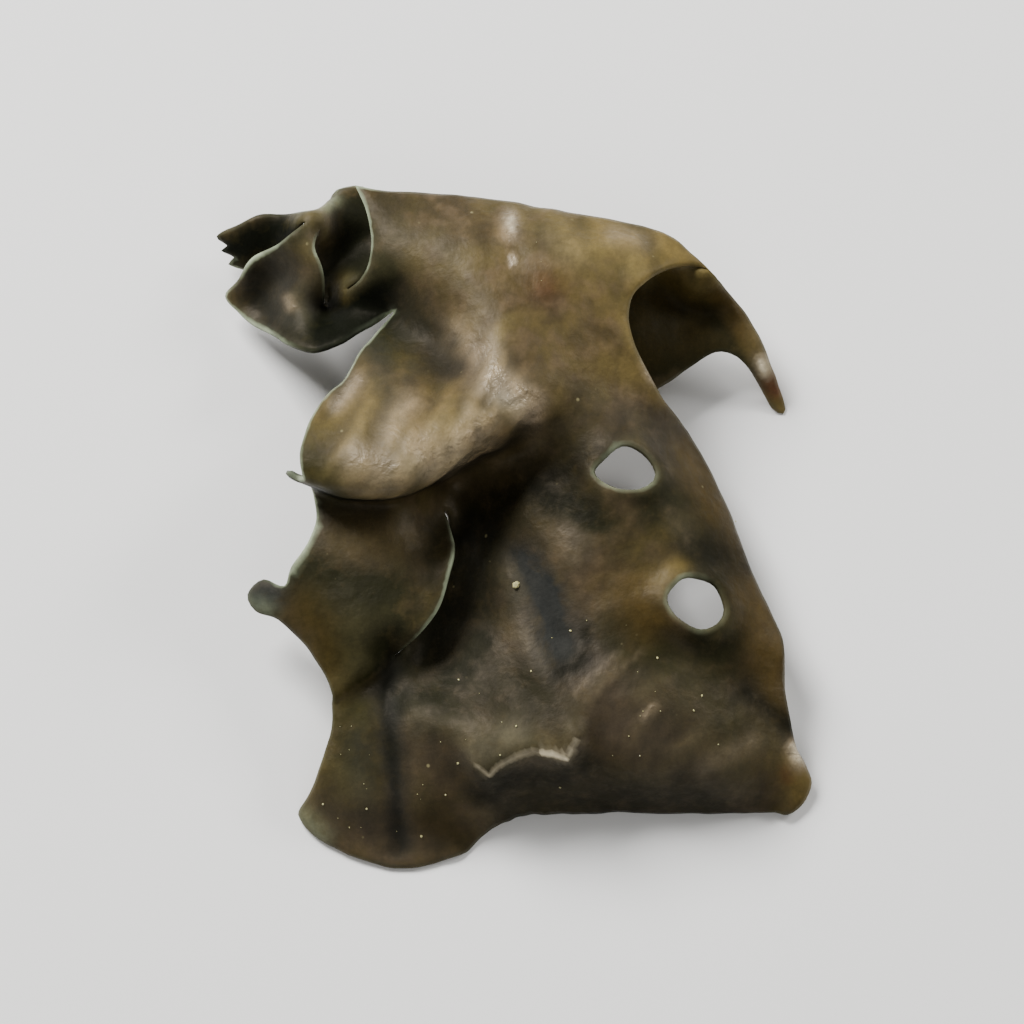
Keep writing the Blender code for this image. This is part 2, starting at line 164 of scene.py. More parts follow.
def bent(before: Array, start: Array, end: Array, after: Array, share: float) -> Array:
    """A place on the smooth line through four points, from the second at share 0 to the third at 1."""
    bend = (end - before) * share + (2 * before - 5 * start + 4 * end - after) * share**2
    return start + 0.5 * (bend + (3 * start - before - 3 * end + after) * share**3)


def covered(loops: Sequence[Array], points: Array) -> Array:
    """Which points lie inside the first of some closed lines and outside the others."""
    return inside(loops[0], points) & ~np.any([inside(hole, points) for hole in loops[1:]], axis=0)


def leftward(ahead: Array) -> Array:
    """The unit directions a quarter turn to the left of some steps."""
    return np.column_stack([-ahead[:, 1], ahead[:, 0]]) / np.hypot(*ahead.T)[:, None]


def nearest(targets: Array, points: Array) -> Array:
    """How far points are from the nearest of some targets.

    Args:
        targets: The targets, one to a row.
        points: The points, one to a row.

    Returns:
        The distance of each point.
    """
    tree = KDTree(len(targets))
    for index, target in enumerate(targets):
        tree.insert((*target, 0), index)
    tree.balance()
    return np.array([tree.find((*point, 0))[2] for point in points])


@dataclass(frozen=True)
class Tear:
    """A tear along a rim, with the blade raised on one side and reaching in under it on the other.

    rim runs along the raised side. under is the unit direction in which the lower side reaches
    under it, by tuck, and left tells whether the lower side is on the left of the rim's direction.
    shut gives how far the tear takes to open round the rim's first and last point, 0 if it is open
    to the blade's edge. before and after lengthen the rim past the edge, to part the two sides.
    hinge is how far round a shut end the blade stays whole, slit the gap between the two sides, and
    parts the number of short stretches to each stretch of the rim.
    """

    rim: Line
    under: Place
    left: bool
    shut: Place
    lift: float
    lift_width: float
    drop: float
    drop_width: float
    tuck: float
    before: Line = ()
    after: Line = ()
    hinge: float = 0
    slit: float = 0.12
    tuck_width: float = 1.5
    parts: int = 4

    def upper_side(self) -> list[Place]:
        """The smooth line through the rim's points.

        Returns:
            Its points, parts of them to each stretch of the rim.
        """
        corners = np.array([self.rim[0], *self.rim, self.rim[-1]])
        stretches = zip(corners, corners[1:], corners[2:], corners[3:])
        line = [bent(*stretch, k / self.parts) for stretch in stretches for k in range(self.parts)]
        return [(float(s), float(t)) for s, t in [*line, corners[-1]]]

    def lower_side(self) -> list[Place]:
        """The line that the lower side is cut along."""
        return [(s - self.slit * self.under[0], t - self.slit * self.under[1]) for s, t in self.upper_side()]

    def opening(self, s: Array, t: Array) -> tuple[Array, Array, Array]:
        """How the tear lies beside points of the plan.

        Args:
            s: Places along the plan.
            t: Places up the plan.

        Returns:
            The distance from the tear, how far it is open there, and whether the point is on its
            lower side.
        """
        pairs = zip(self.upper_side(), self.lower_side())
        middle = [((s0 + s1) / 2, (t0 + t1) / 2) for (s0, t0), (s1, t1) in pairs]
        away = along(middle, s, t)[0]
        left = along([*self.before, *middle, *self.after], s, t)[1]
        gape = np.ones(np.shape(s))
        for end, length in zip((self.rim[0], self.rim[-1]), self.shut):
            if length:
                reach = np.maximum(np.hypot(s - end[0], t - end[1]) - self.hinge, 0)
                gape = gape * (1 - fading(reach, length))
        return away, gape, left == self.left

    def height(self, s: Array, t: Array) -> Array:
        """How far the upper side is lifted and the lower one dropped.

        Args:
            s: Places along the plan.
            t: Places up the plan.

        Returns:
            The height at each place.
        """
        away, gape, below = self.opening(s, t)
        lift = self.lift * fading(away, self.lift_width)
        return gape * np.where(below, -self.drop * fading(away, self.drop_width), lift)

    def pull(self, s: Array, t: Array) -> Array:
        """How far the lower side is drawn in under the upper."""
        away, gape, below = self.opening(s, t)
        return self.tuck * below * gape * np.exp(-away / self.tuck_width)


@dataclass(frozen=True)
class Tears:
    """All tears of the flake."""

    flap: Tear = Tear(
        rim=(
            (-4.95, 0.5), (-4.65, -0.2), (-4.4, -1.3), (-4.65, -2.55), (-5.15, -4.15), (-6.2, -5.5),
            (-7.35, -6.4),
        ),
        under=(-1, 0), left=True, shut=(1.6, 1.7), lift=1.3, lift_width=2.5, drop=1.7,
        drop_width=2.0, tuck=0.85,
    )
    ear: Tear = Tear(
        rim=(
            (7.75, 12.1), (7.05, 12.25), (6.2, 12.2), (5.4, 11.9), (4.65, 11.4), (4.1, 10.8), (3.9, 9.9),
            (4.0, 9.1), (4.3, 8.2), (4.9, 7.0), (5.5, 5.9),
        ),
        under=(-0.8, 0.6), left=True, shut=(1.2, 0), lift=0, lift_width=1, drop=2.8, drop_width=8,
        tuck=0.6, after=((5.75, 5.62), (7.0, 4.4), (13, 3)), hinge=0.2, slit=0.07,
    )
    plateau: Tear = Tear(
        rim=(
            (-9.15, 16.15), (-8.7, 15.2), (-8.4, 14.2), (-8.3, 13.3), (-8.45, 12.3), (-8.85, 11.6),
            (-9.4, 11.15),
        ),
        under=(1, 0), left=False, shut=(0, 1.3), lift=0, lift_width=1, drop=2.2, drop_width=1.5,
        tuck=0.5, before=((-9.9, 18),),
    )
    cup: Tear = Tear(
        rim=((-11.05, 14.1), (-11.25, 13.2), (-10.95, 12.3), (-10.85, 11.4), (-10.95, 10.4)),
        under=(-1, 0), left=True, shut=(0.8, 0.9), lift=0.9, lift_width=1.2, drop=0.9,
        drop_width=1.0, tuck=0.4,
    )
    leaf: Tear = Tear(
        rim=((-14.5, 12.35), (-14.1, 12.75), (-13.1, 13.25), (-12.3, 13.85), (-11.65, 14.4)),
        under=(0.5, -0.87), left=True, shut=(0, 1.0), lift=0.9, lift_width=1.3, drop=1.3,
        drop_width=2.0, tuck=0.4, before=((-17, 12.1),),
    )

    def every(self) -> tuple[Tear, ...]:
        """The tears in a fixed order."""
        return self.flap, self.ear, self.plateau, self.cup, self.leaf


@dataclass(frozen=True)
class Fold:
    """The lip that the lobe hangs over the hollow, from full fold at the left to none at the right."""

    line: Line = (
        (-14, 2.6), (-12.3, 2.1), (-11.5, 1.75), (-9.9, 1.2), (-8.3, 1.1), (-6.7, 1.3), (-5.1, 2),
        (-3.5, 2.95), (-1.9, 4.1), (-0.3, 4.9), (2.1, 5.45),
    )
    full: float = -4.5
    ends: float = 2.7
    lip_back: float = 1.3
    lip_down: float = 2.3
    lip_length: float = 7.4
    lip_reach: float = 7.5
    lobe_rise: float = 3.2
    lobe_width: float = 4.2
    hollow_drop: float = 2.2
    hollow_width: float = 3.2
    hollow_at_flap: float = 0.75
    flap_side: Place = (-4.8, -7.2)

    def share(self, u: Array) -> Array:
        """How strong the fold is."""
        return 1 - smooth_step(self.full, self.ends, u)

    def brink(self, u: Array) -> Array:
        """Where the lobe starts to turn over, on the plan."""
        line = np.array(self.line)
        return np.interp(u, line[:, 0], line[:, 1]) + self.lip_back * self.share(u)

    def taken_up(self, u: Array) -> Array:
        """Length of sheet that the fold takes up, which the plan doesn't show."""
        return (self.lip_length - self.lip_down) * self.share(u)

    def landing(self, u: Array) -> Array:
        """Where the blade comes out flat below the fold, on the plan."""
        return self.brink(u) - self.lip_down * self.share(u)

    def lobe(self, u: Array, t: Array) -> Array:
        """How far the lobe rises above the blade."""
        return self.lobe_rise * self.share(u) * fading(t - self.brink(u), self.lobe_width)

    def hollow(self, u: Array, t: Array) -> Array:
        """How deep the hollow below the lip is, which is less behind the flap."""
        drop = self.hollow_drop * self.share(u) * (1 - self.hollow_at_flap * smooth_step(*self.flap_side, u))
        return drop * fading(self.landing(u) - t, self.hollow_width)

    def on_sheet(self, points: Line) -> list[Place]:
        """Plan points that are clear of the fold, on the flat sheet."""
        return [
            (s, t - float(self.taken_up(np.float64(s))) * (t < self.brink(np.float64(s)) - self.lip_down / 2))
            for s, t in points
        ]

    def on_plan(self, u: Array, v: Array) -> Array:
        """The height on the plan of places on the sheet, which goes down evenly through the fold."""
        turn = self.brink(u) - self.turned(u, v) * self.lip_down * self.share(u)
        return np.where(v >= self.brink(u), v, np.minimum(v + self.taken_up(u), turn))

    def turned(self, u: Array, v: Array) -> Array:
        """How far the sheet is through the turn of the lip, from 0 to 1."""
        return np.clip((self.brink(u) - v) / np.maximum(self.lip_length * self.share(u), TINY), 0, 1)


@dataclass(frozen=True)
class Contour:
    """The torn outline of the blade on the plan, clockwise from the leaf at the ruffled corner."""

    leaf_top: Line = ((-16, 13.9), (-15.1, 14.4), (-13.9, 14.9), (-12.3, 14.95), (-11.2, 15.1), (-10.3, 16.1))
    top_edge: Line = ((-7.85, 15.9), (-5.1, 15.7), (-2.55, 15.45), (-0.3, 15.05), (2.9, 14.5), (5.6, 13.85))
    ear_outer: Line = ((6.9, 12.9), (8.5, 11.35), (9.75, 9.75), (10.7, 7.85), (11.55, 5.4))
    ear_foot: Line = ((10.9, 5.45), (10.1, 6.9), (9.2, 7.9), (8.2, 8.1), (7.0, 7.3), (5.95, 6.3))
    right_edge: Line = (
        (6.7, 4.3), (7.85, 2.25), (8.8, 0.15), (9.6, -2.1), (10.55, -4.15), (11.3, -5.9), (11.35, -8),
        (11.8, -10.55),
    )
    corner_tab: Line = ((12.3, -11.6), (12.6, -12.5), (12.25, -13.45), (11.5, -14))
    bottom_edge: Line = (
        (10.6, -13.85), (8.5, -13.9), (5.3, -13.9), (2.1, -13.9), (-0.3, -13.95), (-1.9, -14.25),
        (-3.05, -14.9), (-3.85, -15.75),
    )
    ribbon_foot: Line = (
        (-5.1, -16.2), (-6.7, -16.55), (-8.3, -16.3), (-9.9, -15.7), (-11.05, -15.05), (-11.85, -14),
    )
    ribbon_left: Line = (
        (-11.3, -12.95), (-10.65, -11.35), (-10.15, -9.45), (-10.4, -7.7), (-11.5, -5.9), (-12.8, -4.7),
    )
    pale_curl: Line = ((-13.9, -4.3), (-14.3, -3.5), (-13.5, -2.8), (-12.5, -3.1))
    light_rim: Line = ((-12.15, -2.2), (-11.3, -0.9), (-11, 0.1))
    bulge_edge: Line = (
        (-11.75, 3.2), (-11.45, 4.3), (-10.7, 5.75), (-9.6, 6.8), (-8.95, 8), (-8.15, 8.95), (-7.3, 10.05),
    )
    cup_foot: Line = (
        (-8.6, 9.3), (-9.9, 8.5), (-11.5, 8.15), (-13.35, 9.05), (-14.7, 9.9), (-15.5, 10.9), (-14.9, 11.7),
    )
    leaf_teeth: Line = ((-15.5, 12.65), (-15.2, 13), (-15.8, 13.25), (-15.5, 13.5))
    hole_upper: Line = (
        (2.25, 2.3), (3.05, 3.3), (3.85, 3.65), (4.8, 3.1), (5.25, 2.25), (4.9, 1.75), (4.1, 1.5), (3, 1.7),
    )
    hole_lower: Line = (
        (5.7, -3.75), (6.05, -3.05), (6.7, -2.65), (8, -3.05), (8.45, -4.2), (8.1, -4.9), (7.3, -5.15),
        (6.2, -4.6),
    )
    fold_tab: float = 1.0
    fold_tab_place: float = 0.45
    fold_tab_width: float = 0.1
    fold_end_points: tuple[float, ...] = (0.85, 0.73, 0.62, 0.53, 0.45, 0.36, 0.26, 0.14)

    def fold_end(self, fold: Fold) -> list[Place]:
        """The sheet's left edge where it turns over, with a small torn tab.

        Args:
            fold: The fold, which parts the sheet from the plan.

        Returns:
            Points of the sheet, upwards.
        """
        top, foot = self.bulge_edge[0], fold.on_sheet(self.light_rim)[-1]
        edge = []
        for share in self.fold_end_points:
            out = self.fold_tab * math.exp(-(((share - self.fold_tab_place) / self.fold_tab_width) ** 2))
            up = 1 - share
            edge.append((foot[0] + (top[0] - foot[0]) * up - out, foot[1] + (top[1] - foot[1]) * up))
        return edge

    def outer(self, fold: Fold, tears: Tears) -> list[Place]:
        """The sheet's outer edge.

        Args:
            fold: The fold, which parts the sheet from the plan.
            tears: The tears that open to the edge.

        Returns:
            One closed line of (u, v) points.
        """
        top = [
            *self.leaf_top, *tears.plateau.lower_side()[:-1], *tears.plateau.upper_side()[::-1],
            *self.top_edge, *self.ear_outer, *self.ear_foot, *tears.ear.lower_side()[:0:-1],
            *tears.ear.upper_side(), *self.right_edge,
        ]
        bottom = [
            *self.corner_tab, *self.bottom_edge, *self.ribbon_foot, *self.ribbon_left, *self.pale_curl,
            *self.light_rim,
        ]
        left = [
            *self.bulge_edge, *self.cup_foot, *tears.leaf.upper_side(), *tears.leaf.lower_side()[-2::-1],
            *self.leaf_teeth,
        ]
        return fold.on_sheet(top + bottom) + self.fold_end(fold) + fold.on_sheet(left)

    def openings(self, fold: Fold, tears: Tears) -> list[list[Place]]:
        """The closed lines of the holes and of the tears that are shut at both ends."""
        slits = [[*tear.upper_side(), *tear.lower_side()[-2:0:-1]] for tear in (tears.flap, tears.cup)]
        return [list(self.hole_upper), list(self.hole_lower), *(fold.on_sheet(slit) for slit in slits)]


@dataclass(frozen=True)
class Crease:
    """A ridge along a line of the plan, or a furrow where its rise is below zero.

    Its edge is 2 for a round profile, 4 for a flat one with firm sides, 1 for a sharp one. steep,
    where it isn't 0, is its width on the right of the line.
    """

    line: Line
    width: float
    rise: float
    edge: float = 2
    steep: float = 0

    def height(self, s: Array, t: Array) -> Array:
        """The crease's own height.

        Args:
            s: Places along the plan.
            t: Places up the plan.

        Returns:
            The height at each place.
        """
        away, left = along(self.line, s, t)
        width = np.where(left | (self.steep == 0), self.width, self.steep)
        return self.rise * np.exp(-((away / width) ** self.edge))


@dataclass(frozen=True)
class Wave:
    """Fine wrinkling: noise of one length, ridged or soft, drawn out by stretch across its turn."""

    length: float
    rise: float
    turn: float = 0
    stretch: float = 1
    ridged: bool = False
    shift: float = 0

    def height(self, u: Array, v: Array) -> Array:
        """The wrinkles' height at points of the sheet.

        Args:
            u: Places along the sheet.
            v: Places up the sheet.

        Returns:
            A height between about -rise and rise for each point.
        """
        cos, sin = math.cos(self.turn), math.sin(self.turn)
        across = (u * cos + v * sin) / self.length
        drawn = (v * cos - u * sin) / (self.length * self.stretch)
        values = np.array([noise.noise((a, b, self.shift)) for a, b in zip(across.tolist(), drawn.tolist())])
        return self.rise * ((1 - 4 * np.abs(values)) if self.ridged else 2 * values)


@dataclass(frozen=True)
class Relief:
    """The height of the blade's middle above the table.

    swell gives heights at places on the plan. edge_lows names edges of the outline, with the height
    that each is turned down to and the width over which. A ripple is ripple_length long, times a
    random number out of ripple_spread.
    """

    swell: Sequence[Spot] = (
        (-7.5, 15.5, 5.6), (-3.5, 15.5, 6.0), (0.5, 15, 6.2), (4.5, 14, 5.8), (-5, 12.5, 6.6), (0, 12, 7.0),
        (3.8, 11.5, 6.4), (-2.5, 8.5, 6.6), (1.5, 8, 6.4), (-7, 9.3, 5.6), (-10, 5, 5.2), (-6.5, 4, 5.6),
        (-3, 4.5, 5.9), (-11.2, 2.5, 5.0), (6.4, 13.1, 5.5), (8.5, 11.1, 4.9), (10.1, 8.6, 4.2),
        (11.3, 6, 1.9), (7, 10, 4.7), (4.4, 8.6, 6.0), (6.2, 5.2, 4.8), (3.7, 2.6, 5.8), (-9.5, 11.5, 5.2),
        (-11, 13, 4.2), (-12.5, 11, 3.4), (-14, 13.2, 3.2), (-15.8, 13.5, 2.2), (-11.5, 9, 3.6),
        (-14.7, 10.5, 1.4), (-8, 1.1, 5.2), (-3.5, 2.2, 5.4), (0, 2.2, 5.4), (-12, 1.2, 4.6),
        (-11, -2, 4.6), (-7.5, -2, 4.6), (-12.5, -4.5, 3.2), (-9, -5, 4.0), (-9.4, -9.8, 3.0),
        (-10.5, -13.8, 1.5), (-8.6, -15.9, 0.5), (-6, -16.2, 0.5), (-3.5, -4.2, 3.6), (-5, -7.4, 3.4),
        (-1, -4.2, 4.5), (3, -4.2, 5.0), (7, -4, 4.9), (3, -1, 5.4),
        (-3.5, -10.5, 4.0), (0, -10.5, 4.5), (4.5, -9.8, 4.6), (8.5, -9, 3.6), (10.9, -7.4, 2.4),
        (-2, -14, 3.6), (2, -13.9, 4.2), (6, -13.9, 4.0), (10, -13.8, 3.0), (12.2, -12, 1.2),
        (11.8, -13.8, 0.6), (10.5, -4.2, 3.4), (9, 0, 4.2), (7.5, 3, 4.8),
    )
    creases: Sequence[Crease] = (
        Crease(
            (
                (-3.17, -11.6), (-2.77, -11.95), (-2.35, -11.55), (-1.44, -11.07), (-0.64, -10.83),
                (0.29, -10.94), (0.9, -11.14), (1.1, -10.74), (1.5, -10.13),
            ),
            1.8, 0.85, 1.1, 0.4,
        ),
        Crease(
            ((-0.75, -1.6), (-0.4, -2.6), (0.05, -3.95), (0.45, -5.1), (0.75, -6.2), (0.95, -6.9)),
            1.0, -0.3, 2.6,
        ),
        Crease(((-8.6, -1.4), (-8.4, -3.6)), 2.4, 0.35),
        Crease(((8.7, 10.7), (9.5, 9.5), (10.3, 8), (11, 6.6)), 0.5, 0.3),
        Crease(((-7.35, -6.5), (-7.5, -7.6), (-7.35, -10.55), (-7.2, -13.75), (-7.2, -15.7)), 0.7, -0.5),
        Crease(((-7.6, 9.9), (-6.2, 9.3), (-5.2, 8.5), (-4.7, 7.4)), 1.9, -1.05),
        Crease(((9.6, -8.15), (10.55, -9.1), (11.5, -10.1)), 0.75, -0.4),
        Crease(((1.45, -1.3), (1.5, -1.35)), 1.1, 0.5),
        Crease(((-9.6, 13.2), (-9.6, 12.2), (-9.9, 11.3), (-10.2, 10.5)), 1.0, -1.2),
        Crease(((-10.5, 9.7), (-8.9, 10.1), (-7.7, 10.3)), 1.1, -0.9),
        Crease(((-13.5, 10), (-13.7, 11), (-13.4, 12)), 1.1, -1.0),
        Crease(((-12.1, 14), (-11.5, 14.5)), 0.7, 0.7),
    )
    hole_rise: float = 0.55
    hole_width: float = 0.6
    edge_lows: Sequence[tuple[str, float, float]] = (
        ("bottom_edge", 0.05, 4.8), ("ribbon_foot", 0.15, 3.2), ("top_edge", 4.9, 2.4),
        ("right_edge", 2.6, 3.2), ("bulge_edge", 4.6, 2.6),
    )
    ripple: float = 0.13
    ripple_length: float = 5.0
    ripple_count: int = 7
    ripple_spread: Place = (0.7, 1.4)
    seed: int = 7

    @staticmethod
    def spread(ds: Array, dt: Array) -> Array:
        """How the pull of a place spreads over the surface."""
        squared = ds * ds + dt * dt
        return squared * np.log(squared + TINY**2)

    def swollen(self, s: Array, t: Array) -> Array:
        """The smoothest surface through the swell's places.

        Args:
            s: Places along the plan.
            t: Places up the plan.

        Returns:
            The surface's height at each place.
        """
        s0, t0, heights = np.array(self.swell, float).T
        flat = np.column_stack([np.ones_like(s0), s0, t0])
        pull = self.spread(s0[:, None] - s0, t0[:, None] - t0)
        system = np.block([[pull, flat], [flat.T, np.zeros((3, 3))]])
        *pulls, level, slope_s, slope_t = np.linalg.solve(system, np.concatenate([heights, np.zeros(3)]))
        pulled = self.spread(s[..., None] - s0, t[..., None] - t0) @ np.array(pulls)
        return pulled + level + slope_s * s + slope_t * t

    def ripples(self, s: Array, t: Array) -> Array:
        """Slight waves all over, in random directions.

        Args:
            s: Places along the plan.
            t: Places up the plan.

        Returns:
            The waves' height at each point.
        """
        draw = random.Random(self.seed)
        total = np.zeros(np.shape(s))
        for _ in range(self.ripple_count):
            way, phase = draw.uniform(0, math.pi), draw.uniform(0, 2 * math.pi)
            turn = 2 * math.pi / (self.ripple_length * draw.uniform(*self.ripple_spread))
            total += np.sin(turn * (s * math.cos(way) + t * math.sin(way)) + phase)
        return total * self.ripple / math.sqrt(self.ripple_count)

    def height(self, s: Array, t: Array, tears: Tears, contour: Contour) -> Array:
        """The height at points of the plan, without the fold.

        Args:
            s: Places along the plan.
            t: Places up the plan.
            tears: The tears, which lift and drop their sides.
            contour: The outline, whose edges turn down.

        Returns:
            The heights in millimetres.
        """
        z = self.swollen(s, t) + self.ripples(s, t)
        z = z + sum(tear.height(s, t) for tear in tears.every())
        z = z + sum(crease.height(s, t) for crease in self.creases)
        for hole in (contour.hole_upper, contour.hole_lower):
            away = along([*hole, hole[0]], s, t)[0]
            z = z + self.hole_rise * fading(away, self.hole_width)
        for name, low, width in self.edge_lows:
            turned = (1 - np.minimum(along(getattr(contour, name), s, t)[0] / width, 1)) ** 2
            z = z + np.minimum(low - z, 0) * turned
        return z


class Stain(Enum):
    """The tones of the dried blade, in the order in which they are laid, then the pale torn rims.

    Each value names the mesh attribute that says where the tone lies, and the tone in the finish.
    Some tones are painted light and shade: a near-black painted shade, two painted highlights, deep
    brown and deep green tones that are also laid as painted shade, and a gold tone that is also laid
    as painted light. The pale rims are partly a painted highlight.
    """

    MAUVE = "mauve"
    # Deep brown, also laid as painted shade.
    UMBER_AND_PAINTED_SHADE = "umber_and_painted_shade"
    # Deep green, also laid as painted shade.
    OLIVE_AND_PAINTED_SHADE = "olive_and_painted_shade"
    # Gold, also laid as painted light.
    GOLDEN_AND_PAINTED_LIGHT = "golden_and_painted_light"
    AMBER = "amber"
    SLATE = "slate"
    # Near-black painted shade.
    DARK = "painted_shade"
    RUST = "rust"
    # Pale green of the thin rims, partly a painted highlight.
    MINT = "mint"
    # Painted highlight spots, where the blade is also glossier.
    BLOOM = "gloss_and_painted_highlight"
    # Painted highlight: bright glints and the crest's lit line.
    PAINTED_GLINT = "worn"
    # Where the pale rims show, partly a painted highlight.
    PALE_RIM = "pale_rim"


@dataclass(frozen=True)
class Dye:
    """Soft patches of one tone, each in a row as patch takes it.

    under and over name a tear, and the patches then lie only on its lower or its upper side.
    """

    stain: Stain
    rows: tuple[Row, ...]
    under: str = ""
    over: str = ""

    def side(self, tears: Tears, s: Array, t: Array) -> Array:
        """Whether points of the plan are on the patches' side of their tear.

        Args:
            tears: The tears that under and over name.
            s: Places along the plan.
            t: Places up the plan.

        Returns:
            True for each point that the patches may reach.
        """
        if self.under:
            return getattr(tears, self.under).opening(s, t)[2]
        return ~getattr(tears, self.over).opening(s, t)[2] if self.over else np.ones(np.shape(s), bool)


